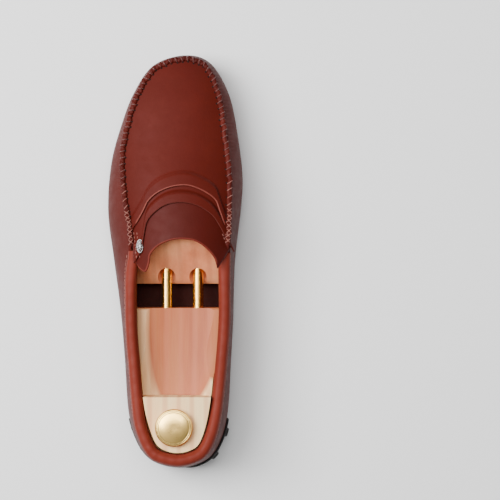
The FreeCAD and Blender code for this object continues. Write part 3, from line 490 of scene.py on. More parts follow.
def cedar(name, pale_low, pale_high, lean=0.0, heart_shade=(1.0, 1.0, 1.0)):
    """Aromatic cedar, sanded bare: long grain in red heartwood and paler sapwood tones.

    The sapwood tone's share rises with height from pale_low to pale_high, both in metres; the
    boundary climbs by lean for each metre toward the inner side. This placing is painted light:
    the top and outer side paler as painted highlight, lower and inner wood darker as painted
    shade. heart_shade darkens the heartwood, also as painted shade.
    """
    f = Finish(name, Specular_IOR_Level=0.30)
    along = f.stretched((60.0, 2.6, 26.0), (0.02, 0.03, 0.05))
    rings = f.node("ShaderNodeTexWave", {"Vector": along, "Scale": 0.55, "Distortion": 3.2,
                                         "Detail": 3.0, "Detail Scale": 0.8},
                   bands_direction="X").outputs["Fac"]
    streak = f.noise(1.0, 4.0, 0.6, f.stretched((46.0, 4.5, 30.0)))
    fibre = f.noise(1.0, 5.0, 0.75, f.stretched((1500.0, 22.0, 1500.0)))
    heart = [(0.34, (0.88, 0.37, 0.17)), (0.50, (0.80, 0.265, 0.115)),
             (0.66, (0.60, 0.145, 0.058))]
    heart = f.ramp(streak, [(at, tuple(a * b for a, b in zip(heart_shade, tone)))
                            for at, tone in heart])
    sap = f.ramp(streak, [(0.34, (0.95, 0.72, 0.38)), (0.55, (0.93, 0.60, 0.29)),
                          (0.70, (0.84, 0.38, 0.17))])
    split = f.node("ShaderNodeSeparateXYZ", {0: f.place}).outputs
    # painted light: paler with height and toward the outer side, darker low and inside
    height = f.maths("SUBTRACT", split["Z"], f.maths("MULTIPLY", split["X"], lean))
    colour = f.mix(f.grey(height, pale_low, pale_high, 0.0, 1.0), heart, sap)
    colour = f.mix(f.grey(rings, 0.55, 0.95, 0.0, 0.35), colour, (0.50, 0.150, 0.07))
    pale = tuple(a * b for a, b in zip(heart_shade, (0.93, 0.66, 0.42)))
    colour = f.mix(f.grey(fibre, 0.45, 0.75, 0.0, 0.22), colour, pale)
    return f.done(colour, f.grey(fibre, 0.3, 0.7, 0.46, 0.62), f.bump(fibre, 0.12, 0.0003))


def metal(name, tone, rough, brushed=0.0, rings=None):
    """Polished metal with faint handling marks and a slow unevenness in the polish.

    rings is the axis (x, y) of turned grooves, cut KNOB_RINGS away from it; painted shade darkens
    them.
    """
    f = Finish(name, Metallic=1.0)
    haze = f.noise(120.0, 5.0, 0.6)
    marks = f.noise(1.0, 3.0, 0.6, f.stretched((240.0, 2600.0, 900.0)))
    colour = f.mix(f.grey(haze, 0.3, 0.8, 0.0, 0.35), tone, tuple(c * 0.82 for c in tone))
    roughness = f.maths("ADD", f.grey(haze, 0.3, 0.7, rough, rough + 0.09),
                        f.grey(marks, 0.5, 0.8, 0.0, 0.08 + brushed))
    normal = f.bump(marks, 0.05 + brushed, 0.0001)
    if rings is not None:
        flat = f.node("ShaderNodeMapping", {"Vector": f.place, "Location": (*(-rings), 0.0),
                                            "Scale": (1.0, 1.0, 0.0)}).outputs[0]
        away = f.node("ShaderNodeVectorMath", {0: flat}, operation="LENGTH").outputs["Value"]
        near = [f.maths("ABSOLUTE", f.maths("SUBTRACT", away, radius * MM), 0.0)
                for radius in KNOB_RINGS]
        grooves_and_shade = f.maths("MAXIMUM", *(f.grey(gap, 0.0, GROOVE * MM, 1.0, 0.0) for gap in near))
        normal = f.bump(f.maths("SUBTRACT", 1.0, grooves_and_shade), 0.6, 0.0004, normal)
        # painted shade: the grooves are darkened to 0.35 of the brass tone
        colour = f.mix(grooves_and_shade, colour, tuple(c * 0.35 for c in tone))
    return f.done(colour, roughness, normal)


def board(name, tone, scale, rough):
    """Pressed fibre or open foam: mottled, matt and pitted."""
    f = Finish(name, Specular_IOR_Level=0.2)
    fleck = f.noise(scale, 5.0, 0.75)
    colour = f.ramp(fleck, [(0.3, tuple(c * 0.7 for c in tone)), (0.7, tone)])
    return f.done(colour, f.grey(fleck, 0.3, 0.7, rough, 0.95), f.bump(fleck, 0.5, 0.0003))


CALF = calf("calf", (0.073, 0.0074, 0.0042), (0.087, 0.0100, 0.0060), (0.060, 0.0058, 0.0034))
TONGUE_CALF = calf("tongue_calf", (0.062, 0.0064, 0.0040), (0.074, 0.0085, 0.0055),
                   (0.050, 0.0050, 0.0032), rough=0.50)
COLLAR_CALF = calf("collar_calf", (0.160, 0.023, 0.0135), (0.195, 0.032, 0.020),
                   (0.130, 0.0175, 0.0105), rough=0.46, grain=1.6)
RIDGE_CALF = calf("ridge_calf", (0.066, 0.0072, 0.0046), (0.105, 0.0145, 0.0092),
                  (0.034, 0.0036, 0.0025), rough=0.50, grain=2.0)
# lighter copy of the tongue's calf: painted highlight along the tongue's edge
TONGUE_EDGE_HIGHLIGHT = calf("tongue_edge_highlight", (0.135, 0.022, 0.014), (0.18, 0.034, 0.022),
                        (0.10, 0.015, 0.010), rough=0.50)
# paler cut edge of the leather, partly painted highlight where the edge catches the light
EDGE = cut_edge("cut_edge", (0.12, 0.017, 0.011), (0.22, 0.046, 0.030))
# darker copy of the cut edge: painted shade along the strap's rear edge
SHADOWED_EDGE = cut_edge("shadowed_cut_edge", (0.055, 0.008, 0.005), (0.12, 0.020, 0.013))
# near-black discs: painted shade inside the awl's holes
HOLE_SHADE = board("awl_hole_shade", (0.012, 0.003, 0.002), 900.0, 0.8)
LINING = lining_hide("lining_hide", (0.055, 0.0085, 0.0050))
THREAD = waxed_thread("waxed_thread", (0.30, 0.085, 0.055))
TOE_THREAD = waxed_thread("toe_thread", (0.125, 0.022, 0.014))
RUBBER = moulded_rubber()
TOE_CEDAR = cedar("toe_cedar", 0.070, 0.090)
# painted light on the heel block: pale top and outer flank, heartwood darkened as painted shade
HEEL_CEDAR = cedar("heel_cedar", 0.0380, 0.0396, 0.12, (0.52, 0.40, 0.30))
BRASS = metal("brass", (1.0, 0.58, 0.14), 0.18)
knob_low, knob_high = (np.array(corner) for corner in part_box("knob"))
# painted shade darkens this knob's turned grooves
KNOB_BRASS = metal("knob_brass", (1.0, 0.66, 0.20), 0.26,
                   rings=((knob_low + knob_high) / 2.0)[:2])
SILVER = metal("silver", (0.40, 0.39, 0.38), 0.22, brushed=0.1)
STEEL = metal("spring_steel", (0.55, 0.55, 0.56), 0.3)
FOOTBED = lining_hide("footbed_hide", (0.030, 0.0040, 0.0022))
BOARD = board("lasting_board", (0.36, 0.27, 0.19), 700.0, 0.75)
FOAM = board("latex_foam", (0.80, 0.74, 0.58), 1600.0, 0.9)


# ---- the one-piece wrap ---------------------------------------------------------------------
STATIONS = 1500
wall = ring(STATIONS)
toe_share = smooth(wall.point[:, 1], 0.60 * LENGTH, 0.86 * LENGTH)
seam_share = smooth(wall.point[:, 1], 0.53 * LENGTH, 0.60 * LENGTH)


def gathers():
    """Pleats where the wall is drawn up to the apron: rounded waves along the seam.

    wave = |sin(phase / 2)|^0.7 - 0.62, made uneven by two slow sines and deeper at the toe.
    """
    run = wall.run
    phase = 2.0 * np.pi * np.round(run[-1] / PUCKER) * run / (run[-1] + run[1])
    wave = np.abs(np.sin(phase / 2.0)) ** 0.7 - 0.62
    slow = 0.75 + 0.25 * np.sin(phase * 0.093 + 1.0) * np.sin(phase * 0.031)
    return wave * slow * (0.25 + 0.75 * toe_share) * seam_share


def make_wrap():
    """Rows from the spine line underfoot, round the bulge, up to the edge, over and down."""
    rows = []
    centre = np.stack([wall.point[:, 0] * 0.0 + 1.0,
                       np.clip(wall.point[:, 1], 0.10 * LENGTH, 0.90 * LENGTH)], -1)
    foot = wall.at(SOLE_GAP, 0.0)
    for share in np.linspace(0.0, 1.0, 7)[:-1]:
        flat = centre * (1 - share) + foot[:, :2] * share
        rows.append(level(flat, SOLE_GAP))
    pleats = PUCKER_DEPTH * gathers()
    for share in np.linspace(0.0, 1.0, 40) ** 1.15:
        z = SOLE_GAP + (wall.top - SOLE_GAP) * share
        rows.append(wall.at(z, -pleats * smooth(z - wall.top, -10.0, -0.5)))
    for share in (0.35, 0.70):
        edge = wall.at(wall.top, share * LEATHER)[:, :2]
        rows.append(np.column_stack([edge, wall.top + 0.25]))
    for drop in (0.0, 2.5, 6.0):
        rows.append(wall.at(wall.top - drop, LEATHER))
    grid_piece("wrap_calf", np.array(rows), CALF, wrap_columns=True, merge=0.00002, node="wrap",
               slot="upper_leather")


make_wrap()


# ---- patches of the top ---------------------------------------------------------------------
def coons(left, right, low, high):
    """Blend of opposite edges less the blend of the corners, for whole arrays of (x, y)."""
    v = np.linspace(0, 1, len(left))[:, None, None]
    u = np.linspace(0, 1, len(low))[None, :, None]
    edges = left[:, None] * (1 - u) + right[:, None] * u + low[None] * (1 - v) + high[None] * v
    corners = (low[0] * (1 - u) * (1 - v) + low[-1] * u * (1 - v)
               + high[0] * (1 - u) * v + high[-1] * u * v)
    return edges - corners


def seam_line(depth, low=0.505):
    """Plan points of the seam from the strap's outer end round the toe to its inner end."""
    start = np.argmin(np.abs(wall.point[:, 1] - low * LENGTH) + 1000 * (wall.point[:, 0] > 0))
    step = 1 if wall.point[1, 0] < wall.point[0, 0] else -1
    order = (start + step * np.arange(STATIONS)) % STATIONS
    inner = (wall.point[order, 0] > 0) & (wall.point[order, 1] < low * LENGTH)
    order = order[:int(np.argmax(inner))]
    return wall.point[order] + wall.inward[order] * (wall.lean[order] + depth)[:, None], order


def clipped(points, seam):
    """An edge with its two ends drawn on to the nearest points of the seam."""
    for end in (0, -1):
        target = seam[np.argmin(np.linalg.norm(seam - points[end], axis=1))]
        share = np.linspace(0, 1, len(points))
        weight = np.clip(1.0 - 4.0 * (share if end == 0 else 1.0 - share), 0, 1)
        points = points + (target - points[end]) * weight[:, None]
    return points


def plan(points, count):
    return run_through(np.array(points) * (HALF, LENGTH), count)


def place_of(edge):
    """y of an edge as a function of x."""
    order = np.argsort(edge[:, 0])
    return lambda x: np.interp(x, edge[order, 0], edge[order, 1])


seam, _ = seam_line(LEATHER + VAMP_GAP)
apron_rear = clipped(plan(APRON_EDGE, 120), seam)
strap_rear = plan(STRAP_EDGE, 120)
tongue_rear = plan(TONGUE_EDGE, 120)
apron_rear_y, strap_rear_y = place_of(apron_rear), place_of(strap_rear)


def tongue_floor(x, y):
    return vamp(x, y) + VAMP_GAP


def stepped(x, y, front, thickness):
    """Floor of a layer that steps down at its front off the layer under its rear."""
    step = 1 - smooth(y, front + RAMP_START, front + RAMP_START + RAMP)
    return vamp(x, y) + VAMP_GAP + step * (thickness + VAMP_GAP)


def strap_floor(x, y):
    return stepped(x, y, strap_rear_y(x) + TONGUE_TUCK, TONGUE_THICK)


def apron_floor(x, y):
    return stepped(x, y, apron_rear_y(x) + STRAP_TUCK, STRAP_THICK)


def toe_edges(rear, seam_points, rows, columns):
    """The other three edges of a patch that runs from a rear edge to the toe."""
    first = np.argmin(np.linalg.norm(seam_points - rear[0], axis=1))
    last = np.argmin(np.linalg.norm(seam_points - rear[-1], axis=1))
    run = seam_points[first:last + 1]
    outer, inner = int(len(run) * 0.40), int(len(run) * 0.60)
    left = spaced(np.vstack([rear[:1], run[1:outer + 1]]), rows)
    right = spaced(np.vstack([run[inner:-1], rear[-1:]])[::-1], rows)
    return left, right, spaced(rear, columns), spaced(run[outer:inner + 1], columns)


def patch(edges, floor, thickness, name, material, **words):
    """A leather sheet lying on a floor height over a plan patch."""
    flat = coons(*edges)
    x, y = flat[..., 0], flat[..., 1]
    low = floor(x, y)
    closed_sheet(name, np.dstack([x, y, low + thickness]), np.dstack([x, y, low]), material,
                 **words)


def between(low, high):
    """The two side edges of a patch, straight from one end of each long edge to the other."""
    return [np.linspace(low[end], high[end], 60) for end in (0, -1)]


def make_top():
    """Apron, strap and tongue, each a sheet over the vamp line."""
    patch(toe_edges(apron_rear, seam, 150, 140), apron_floor, APRON_THICK, "apron_calf", CALF,
          node="apron", slot="upper_leather")
    front = apron_rear + (0, STRAP_TUCK)
    front[0], front[-1] = front[0] + (1, -4), front[-1] + (-1, -4)
    front = spaced(front, 120)
    patch((*between(strap_rear, front), strap_rear, front), strap_floor, STRAP_THICK,
          "penny_strap_calf", CALF, node="penny_strap", slot="upper_leather")
    tuck = (strap_rear + (0, TONGUE_TUCK)) * (0.95, 1.0)
    patch((*between(tongue_rear, tuck), tongue_rear, tuck), tongue_floor, TONGUE_THICK,
          "tongue_calf", TONGUE_CALF, node="tongue", slot="upper_leather")


make_top()


# ---- seam ridge and threads -----------------------------------------------------------------
def tube_along(path, across, up, radii, sides, name, material, **words):
    """A round cord of leather along a path: centre + r (across cos + up sin)."""
    angle = np.linspace(0, 2 * np.pi, sides, endpoint=False)[None, :, None]
    grid = path[:, None] + (across[:, None] * np.cos(angle)
                            + up[:, None] * np.sin(angle)) * radii[:, None, None]
    grid = np.concatenate([np.repeat(path[:1, None], sides, 1), grid,
                           np.repeat(path[-1:, None], sides, 1)])
    grid_piece(name, grid, material, wrap_columns=True, **words)


# along a stitch: (share of its length, share of its thickness)
STITCH = np.array([(0.0, 0.0), (0.06, 0.75), (0.3, 1.0), (0.5, 1.05), (0.7, 1.0), (0.94, 0.75),
                   (1.0, 0.0)])
# over a pebble: (share of its radius, share of its height)
DOME = np.array([(0.0, 1.0), (0.45, 0.985), (0.72, 0.93), (0.90, 0.80), (0.98, 0.60),
                 (1.0, 0.30), (1.04, 0.08), (1.12, 0.0)])
DOME_FOOT = DOME[-1, 0]


def turns(side, other, sides):
    """Unit directions round each solid's axis: side cos + other sin."""
    angle = np.linspace(0, 2 * np.pi, sides, endpoint=False)[None, None, :, None]
    return side[:, None, None] * np.cos(angle) + other[:, None, None] * np.sin(angle)


def capsules(name, starts, ends, radius, material, sag, **words):
    """Short stitches: tapered round rods with a low arch, 4 sag t (1 - t), in one mesh."""
    share, girth = STITCH.T
    run = ends - starts
    along = unit(run)
    across = unit(np.cross(along, [0.0, 0.0, 1.0]))
    up = np.cross(across, along)
    arch = (4.0 * share * (1 - share))[None, :, None] * sag
    centre = starts[:, None] + run[:, None] * share[None, :, None] + up[:, None] * arch
    points = centre[:, :, None] + turns(across, up, 6) * (girth * radius)[None, :, None, None]
    many(name, points, material, **words)


def domes(name, centres, ways, radius, height, material, sides=20, **words):
    """Round pebbles: one profile of (radius, height) turned about each pebble's own axis."""
    ways = unit(ways)
    helper = np.where(np.abs(ways[:, 2:3]) > 0.9, (1.0, 0.0, 0.0), (0.0, 0.0, 1.0))
    side = unit(np.cross(ways, helper))
    out = (DOME[:, 0] * radius)[None, :, None, None]
    up = (DOME[:, 1] * height)[None, :, None, None]
    points = (centres[:, None, None] + turns(side, np.cross(ways, side), sides) * out
              + ways[:, None, None] * up)
    many(name, points, material, **words)


def strap_top(x, y):
    """Upper face of the strap, or of the apron where that lies over it."""
    over = np.where(y > apron_rear_y(x), apron_floor(x, y) + APRON_THICK, 0.0)
    strap = np.where(y < strap_rear_y(x), tongue_floor(x, y) + TONGUE_THICK,
                     strap_floor(x, y) + STRAP_THICK)
    return np.maximum(strap, over)


def seam_frame():
    """Path along the ridge and its direction across, with the wall's stations it follows."""
    line, order = seam_line(LEATHER * 0.9, 0.532)
    crest = vamp(line[:, 0], line[:, 1]) + RIDGE + 0.25
    near = line + wall.inward[order] * 2.6
    z = np.maximum(crest, strap_top(near[:, 0], near[:, 1]) - 0.25)
    z = np.convolve(np.pad(z, 12, mode="edge"), np.ones(25) / 25, mode="valid")
    across = level(wall.inward[order], 0.0)
    return np.column_stack([line, z]), across, order


def make_ridge():
    """The gathered ridge of the hand-sewn seam: an oval cord with folds and a slight drift."""
    path, across, order = seam_frame()
    run = distance(path)
    toe = toe_share[order]
    phase = 2 * np.pi * run / (PUCKER + 0.9 * (1 - toe))
    phase = phase + 0.7 * np.sin(run / 5.3) + 0.4 * np.sin(run / 2.1)
    angle = np.linspace(0, 2 * np.pi, 20, endpoint=False)[None, :]
    twist = np.abs(np.sin(phase[:, None] / 2 + 0.9 * np.cos(angle)))
    taper = smooth(np.minimum(run, run[-1] - run), 0, 4.0)[:, None]
    swell = (0.72 + 0.42 * twist**0.8) * (0.2 + 0.8 * taper)
    drift = 0.28 * np.sin(run / 1.9) + 0.18 * np.sin(run / 0.83 + 1.0)
    path = path + across * (drift * (0.5 + 0.5 * toe))[:, None]
    rise = np.sin(angle) * swell * RIDGE_HEIGHT
    grid = path[:, None] + across[:, None] * (np.cos(angle) * swell * RIDGE_WIDTH)[..., None]
    grid[..., 2] += rise
    grid_piece("seam_ridge", capped(grid), RIDGE_CALF, wrap_columns=True, slot="upper_leather")
    return path, across, run, toe


def make_seam():
    """Thread drawn over the ridge, crossed beside the strap, and painted shade in awl holes inside
    it.
    """
    path, across, run, toe = make_ridge()
    near_strap = 1 - smooth(path[:, 1], 0.60 * LENGTH, 0.66 * LENGTH)
    step = SEAM_PITCH * (1 - 0.38 * near_strap - 0.25 * toe)
    count = np.cumsum(np.gradient(run) / step)
    pick = np.searchsorted(count, np.arange(1, int(count[-1])))
    centre, side, forward = path[pick], across[pick], unit(np.gradient(path, axis=0))[pick]
    toe, near_strap = toe[pick], near_strap[pick]
    reach = side * RIDGE_WIDTH + forward * (1.5 - 0.9 * toe + 0.3 * near_strap)[:, None]
    starts, ends = centre - reach + (0, 0, 0.55), centre + reach + (0, 0, 0.45)
    far = toe > 0.35
    for name, chosen, finish in (("seam_stitches", ~far, THREAD),
                                 ("seam_toe_stitches", far, TOE_THREAD)):
        capsules(name, starts[chosen], ends[chosen], SEAM_THREAD, finish, sag=0.95,
                 node="seam_thread", slot="thread")
    cross = near_strap > 0.5
    reach = (side * 1.6 - forward * 1.4)[cross]
    middle = centre[cross] + (0, 0, 0.5)
    capsules("seam_cross_stitches", middle + reach, middle - reach, CROSS_THREAD, THREAD,
             sag=0.8, node="seam_thread", slot="thread")
    holes = (centre + side * 2.35 + forward * 0.6)[centre[:, 1] > 0.60 * LENGTH]
    holes[:, 2] = strap_top(holes[:, 0], holes[:, 1]) + 0.02
    # painted shade: low near-black discs where the awl pierced the leather
    domes("seam_awl_hole_shades", holes, upright(len(holes)), 0.62, 0.10, HOLE_SHADE, sides=10,
          slot="upper_leather")


make_seam()


def edge_bead(name, line, height, radius, material):
    """The rounded, burnished cut edge along the rear of a layer."""
    fine = spaced(line, 420)
    path = np.column_stack([fine, height(fine[:, 0], fine[:, 1])])
    along = unit(np.gradient(fine, axis=0))
    across = np.column_stack([along[:, 1], -along[:, 0], np.zeros(len(fine))])
    index = np.arange(len(fine))
    taper = 0.3 + 0.7 * smooth(np.minimum(index, index[::-1]), 0, 25)
    tube_along(path, across, upright(len(fine)), radius * taper, 10, name, material,
               slot="upper_leather")


# the apron's edge: paler leather, partly painted highlight
edge_bead("apron_edge", apron_rear[4:-4], lambda x, y: apron_floor(x, y) + 1.05, 0.52, EDGE)
# the strap's rear edge is darkened as painted shade
edge_bead("strap_edge", strap_rear[3:-1], lambda x, y: strap_floor(x, y) + 1.0, 0.42, SHADOWED_EDGE)
# painted highlight: the tongue's rounded edge in lighter calf
edge_bead("tongue_edge", tongue_rear, lambda x, y: tongue_floor(x, y) + 1.3, 0.75,
          TONGUE_EDGE_HIGHLIGHT)


# ---- collar -----------------------------------------------------------------------------
def make_collar():
    """Padded roll round the foot opening: one section carried round the heel."""
    run = heel_part(ring(900), COLLAR_START)
    section = run_through(COLLAR_SECTION, 44, closed=True)
    flatten = COLLAR_FLATTEN * smooth(run.point[:, 1], 0.42 * LENGTH, 0.5 * LENGTH)
    ease = (1.0 - flatten)[:, None]
    length = distance(run.point)
    across = section[None, :, 0] * COLLAR_WIDTH
    rise = section[None, :, 1] * np.where(section[None, :, 1] > 0.6, ease, 1.0)
    pull = 0.10 * np.sin(length * 2 * np.pi / 9.0 + 0.8 * np.sin(length / 23.0))[:, None]
    upper = np.clip(section[None, :, 1] / 5.0, 0, 1)
    rise = rise + pull * upper
    depth = run.lean[:, None] + across
    flat = run.point[:, None] + run.inward[:, None] * depth[..., None]
    grid = np.dstack([flat[..., 0], flat[..., 1], run.top[:, None] + rise])
    obj = grid_piece("collar_calf", capped(grid), COLLAR_CALF, wrap_columns=True, node="collar",
                     slot="upper_leather")
    # the collar's rolled edge: paler leather, partly painted highlight
    edge = np.column_stack([run.at(run.top, -0.15)[:, :2], run.top + 0.55])
    tube_along(edge, level(run.inward, 0.0), upright(len(edge)), np.full(len(edge), 0.42), 8,
               "collar_edge_bead", EDGE, slot="upper_leather")
    line = run.at(run.top - 1.9, -0.12)
    stops = np.arange(2.0, length[-1] - 2.0, 2.6)
    pick = np.searchsorted(length, stops)
    pick_end = np.clip(np.searchsorted(length, stops + 1.9), 0, len(line) - 1)
    capsules("collar_stitches", line[pick], line[pick_end], COLLAR_THREAD, THREAD, sag=0.05,
             node="collar_thread", slot="thread")


make_collar()


# ---- linings and footbed ----------------------------------------------------------------------
def make_lining():
    """Soft lining up the wall inside, and under the vamp, both with rounded free edges."""
    run = ring(800)
    drop = (0.3 + 4.6 * smooth(run.point[:, 1], 0.47 * LENGTH, 0.53 * LENGTH)
            + 1.2 * smooth(run.point[:, 1], 0.53 * LENGTH, 0.62 * LENGTH))
    low, high = BED_TOP + VAMP_GAP, run.top - drop
    rows = [run.at(low + (high - low) * share, LINING_DEPTH + LINING_THICK)
            for share in np.linspace(0, 1, 22)]
    rows += [run.at(high + 0.2, LINING_DEPTH + share * LINING_THICK) for share in (0.7, 0.3)]
    rows += [run.at(low + (high - low) * share, LINING_DEPTH) for share in np.linspace(1, 0, 10)]
    grid_piece("side_lining_hide", np.array(rows), LINING, wrap_rows=True, wrap_columns=True,
               merge=0.00002, node="side_lining", slot="lining_leather")
    line, _ = seam_line(LEATHER + COUNTER + LINING_THICK + 4 * VAMP_GAP)
    rear = clipped(spaced(strap_rear * (0.80, 1.0) + (0, 12.0), 120), line)
    patch(toe_edges(rear, line, 90, 90), lambda x, y: vamp(x, y) - LINING_THICK, LINING_THICK,
          "vamp_lining_hide", LINING, node="vamp_lining", slot="lining_leather")


def make_footbed():
    """Leather footbed over its boards, dished a little under the heel and the ball."""
    run = ring(500)
    edge = run.at(BED_TOP - 0.8, LINING_DEPTH)[:, :2]
    spine_y = np.clip(edge[:, 1], 0.12 * LENGTH, 0.88 * LENGTH)
    centre = np.stack([edge[:, 0] * 0.0 + 1.0, spine_y], -1)
    heights = [(share, BED_TOP - 0.5 * (1 - share**2)) for share in np.linspace(0, 0.992, 26)]
    heights += [(1.0, BED_TOP - 0.6), (0.99, BED_LOW), (0.5, BED_LOW), (0.0, BED_LOW)]
    rows = [level(centre * (1 - share) + edge * share, z) for share, z in heights]
    grid_piece("footbed_hide", np.array(rows), FOOTBED, wrap_columns=True, merge=0.00002,
               node="footbed", slot="lining_leather")


make_lining()
make_footbed()


# ---- rubber underneath and behind ---------------------------------------------------------------
def half_width(inset):
    """Outer and inner x of the sole's outline, as functions of y."""
    edge = wall.at(2.4, inset)[:, :2]
    sides = []
    for chosen in (edge[:, 0] < 0, edge[:, 0] >= 0):
        part = edge[chosen]
        part = part[np.argsort(part[:, 1])]
        sides.append(lambda y, part=part: np.interp(y, part[:, 1], part[:, 0]))
    return sides


def make_sole(name, low, high):
    """A rubber plate with moulded edges and rows of round pebbles under it."""
    outer, inner = half_width(SOLE_INSET)
    y = np.linspace(low, high, 60)[:, None]
    share = np.linspace(0, 1, 24)[None]
    corner = (np.clip(1 - (y - low) / 5.0, 0, 1) ** 2 + np.clip(1 - (high - y) / 5.0, 0, 1) ** 2)
    left, right = outer(y) + 3.0 * corner, inner(y) - 3.0 * corner
    x = left + (right - left) * share
    y = np.broadcast_to(y, x.shape)
    top = SOLE_GAP - 0.05
    over, under = (np.dstack([x, y, np.full(x.shape, z)]) for z in (top, top - BASE_RUBBER))
    closed_sheet(name + "_plate", over, under, RUBBER, ease=0.5, node=name, slot="rubber")
    outer, inner = half_width(SOLE_INSET + PEBBLE / 2 + 0.8)
    row = np.arange(int((high - low - PEBBLE) / PEBBLE_ROWS) + 1)[:, None]
    column = np.arange(-5, 6)[None]
    y = low + PEBBLE / 2 + 1.0 + row * PEBBLE_ROWS + 0 * column
    x = (column + 0.5 * (row % 2)) * PEBBLE_PITCH
    keep = (x > outer(y)) & (x < inner(y))
    depth = SOLE_GAP - BASE_RUBBER
    centres = level(np.column_stack([x[keep], y[keep]]), depth)
    domes(name + "_pebbles", centres, -upright(len(centres)), PEBBLE / 2 / DOME_FOOT, depth,
          RUBBER, node=name, slot="rubber")


for name, (start, end) in SOLES.items():
    make_sole(name, start * LENGTH, end * LENGTH)


def make_heel_patch():
    """Rubber up the back of the heel, low behind and higher on the inner side."""
    run = heel_part(ring(900), PATCH_REACH)
    x, y = run.point.T
    rise = smooth(x, 4.0, PATCH_INNER)
    top = PATCH_LOW + (PATCH_HIGH - PATCH_LOW) * rise * (1 - 0.6 * smooth(y, 0.03 * LENGTH,
                                                                          PATCH_REACH))
    shares = np.linspace(0, 1, 20)
    low = SOLE_GAP + 2.0
    over = np.array([run.at(low + (top - low) * s, -BASE_RUBBER - PATCH_GAP) for s in shares])
    under = np.array([run.at(low + (top - low) * s, -PATCH_GAP) for s in shares])
    closed_sheet("heel_patch_rubber", over, under, RUBBER, ease=0.4, node="heel_patch",
                 slot="rubber")
    centres, ways = [], []
    for height, steps, lowest_x in PATCH_ROWS:
        at = run.at(height, -PATCH_GAP - BASE_RUBBER)
        slope = run.inset(height + 0.5) - run.inset(height - 0.5)
        pick = np.round((np.arange(steps) + 0.5) / steps * (len(x) - 1)).astype(int)
        pick = pick[x[pick] >= lowest_x]
        centres.append(at[pick])
        ways.append(np.column_stack([-run.inward[pick], slope[pick]]))
    domes("heel_patch_pebbles", np.concatenate(centres), np.concatenate(ways), 3.05,
          PATCH_PROUD, RUBBER, node="heel_patch", slot="rubber")


make_heel_patch()


# ---- stitches and stud on the strap ---------------------------------------------------------------
def make_strap_work():
    """Rows of machine stitches, lying on the leather, that hold the strap's two ends."""
    gap, length, thick = STRAP_STITCH
    for side, end in ((1, 0), (-1, -1)):
        rear, front = strap_rear[end], apron_rear[end]
        for inset in (1.9, 4.1):
            fine = spaced(np.linspace(rear + (side * inset, 2.5), front + (side * inset, 1.0),
                                      30), 1200)
            run = distance(fine)
            first = np.arange(gap, run[-1] - length - gap, length + gap)
            ends = [np.column_stack([np.interp(at, run, fine[:, k]) for k in (0, 1)])
                    for at in (first, first + length)]
            starts, ends = (np.column_stack([flat, strap_top(flat[:, 0], flat[:, 1])
                                             + thick * 0.4]) for flat in ends)
            capsules("strap_end_stitches_%d_%d" % (-end, round(inset)), starts, ends, thick,
                     THREAD, sag=thick * 0.5, node="strap_thread", slot="thread")


def make_stud():
    """Small cast silver trim: an oval cushion with a beaded border and a ribbed middle."""
    middle = np.array(STUD_AT)
    base = float(strap_top(*middle[:, None])[0])
    angle = np.linspace(0, 2 * np.pi, 96, endpoint=False)[None]
    share = np.linspace(0, 1, 26)[:, None]
    waist = 1.0 + 0.06 * np.cos(4 * angle)
    x = middle[0] + STUD_HALF[0] * share * np.cos(angle) * waist
    y = middle[1] + STUD_HALF[1] * share * np.sin(angle) * waist
    dome = STUD_RISE * np.sqrt(np.clip(1 - share**2.6, 0, 1))
    ribs = 0.30 * np.cos(9 * angle) * smooth(share, 0.2, 0.5) * (1 - smooth(share, 0.6, 0.78))
    z = base + 0.1 + dome + ribs + 0.22 * np.exp(-((share - 0.72) / 0.05) ** 2)
    rows = np.dstack([x, y, z])
    skirt = np.dstack([x[-1:], y[-1:], z[-1:] * 0 + base - 0.1])
    grid_piece("strap_stud_silver", np.concatenate([rows, skirt]), SILVER, wrap_columns=True,
               node="strap_stud", slot="silver")
    turn = np.linspace(0, 2 * np.pi, STUD_BEADS, endpoint=False)
    beads = middle + np.column_stack([np.cos(turn), np.sin(turn)]) * STUD_HALF
    domes("strap_stud_beads", level(beads, base + 0.05), upright(STUD_BEADS), 0.42, 0.62,
          SILVER, sides=10, node="strap_stud", slot="silver")


make_strap_work()
make_stud()


# ---- finishes on the pieces that keep the frame's own shapes ---------------------------------
for name, finish in (("toe_block", TOE_CEDAR), ("heel_block", HEEL_CEDAR), ("tube_outer", BRASS),
                     ("tube_inner", BRASS), ("tube_plug_outer", RUBBER),
                     ("tube_plug_inner", RUBBER), ("stop_pin_outer", STEEL),
                     ("stop_pin_inner", STEEL), ("spring_outer", STEEL),
                     ("spring_inner", STEEL), ("knob", KNOB_BRASS), ("knob_screw", STEEL),
                     ("heel_counter", BOARD), ("heel_cushion", FOAM), ("insole_board", BOARD),
                     ("collar_foam", FOAM)):
    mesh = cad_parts[name].data
    mesh.materials.clear()
    mesh.materials.append(finish)


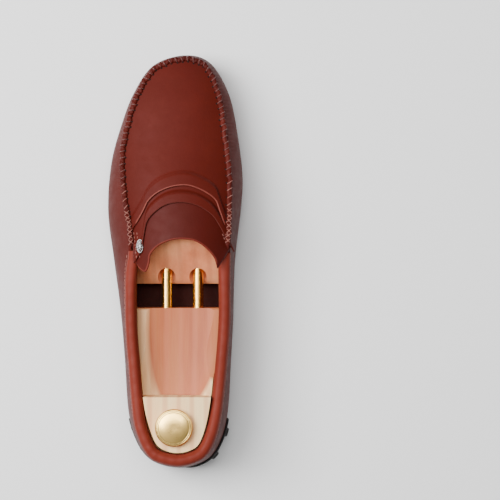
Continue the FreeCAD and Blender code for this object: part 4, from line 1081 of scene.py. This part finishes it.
# ---- light, floor and camera ----------------------------------------------------------------
def softbox(name, at, aim, size, power, tint=(1, 1, 1)):
    lamp = bpy.data.lights.new(name, "AREA")
    lamp.shape = "RECTANGLE"
    lamp.size, lamp.size_y = size
    lamp.energy = power
    lamp.color = tint
    obj = bpy.data.objects.new(name, lamp)
    bpy.context.scene.collection.objects.link(obj)
    obj.location = at
    way = np.array(aim, float) - np.array(at, float)
    obj.rotation_euler = (math.atan2(math.hypot(way[0], way[1]), -way[2]), 0.0,
                          math.atan2(way[1], way[0]) - math.pi / 2)
    return obj


def make_stage():
    floor = Finish("floor_card")
    paper = floor.noise(900.0, 3.0)
    colour = floor.ramp(paper, [(0.0, (0.86, 0.86, 0.86)), (1.0, (0.90, 0.90, 0.90))])
    floor_material = floor.done(colour, floor.grey(paper, 0, 1, 0.85, 0.95))
    bpy.ops.mesh.primitive_plane_add(size=6.0, location=(0, 0, cad_low[2] - 0.0005))
    card = bpy.context.object
    card.name = "floor_card"
    card.data.materials.append(floor_material)
    world = bpy.data.worlds.new("studio")
    world.use_nodes = True
    nodes, links = world.node_tree.nodes, world.node_tree.links
    way = nodes.new("ShaderNodeTexCoord").outputs["Generated"]
    split = nodes.new("ShaderNodeSeparateXYZ")
    links.new(way, split.inputs[0])
    side = nodes.new("ShaderNodeMapRange")
    links.new(split.outputs["X"], side.inputs["Value"])
    for key, value in (("From Min", -0.5), ("From Max", 0.6), ("To Min", 0.62), ("To Max", 0.10)):
        side.inputs[key].default_value = value
    links.new(side.outputs[0], nodes["Background"].inputs["Strength"])
    nodes["Background"].inputs["Color"].default_value = (1, 1, 1, 1)
    bpy.context.scene.world = world
    for lamp in (softbox("key", (-0.75, 0.25, 1.15), (0, 0.02, 0.03), (0.7, 0.9), 34.0),
                 softbox("top", (0.05, 0.35, 1.45), (0, 0, 0.03), (0.8, 0.5), 13.0)):
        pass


make_stage()

camera_data = bpy.data.cameras.new("camera")
camera_data.sensor_width = SENSOR
camera_data.lens = SENSOR / (2.0 * math.tan(math.radians(VIEW_ANGLE) / 2.0))
camera = bpy.data.objects.new("camera", camera_data)
camera.location = place(EYE)
camera.rotation_euler = (0.0, 0.0, 0.0)
bpy.context.scene.collection.objects.link(camera)
bpy.context.scene.camera = camera
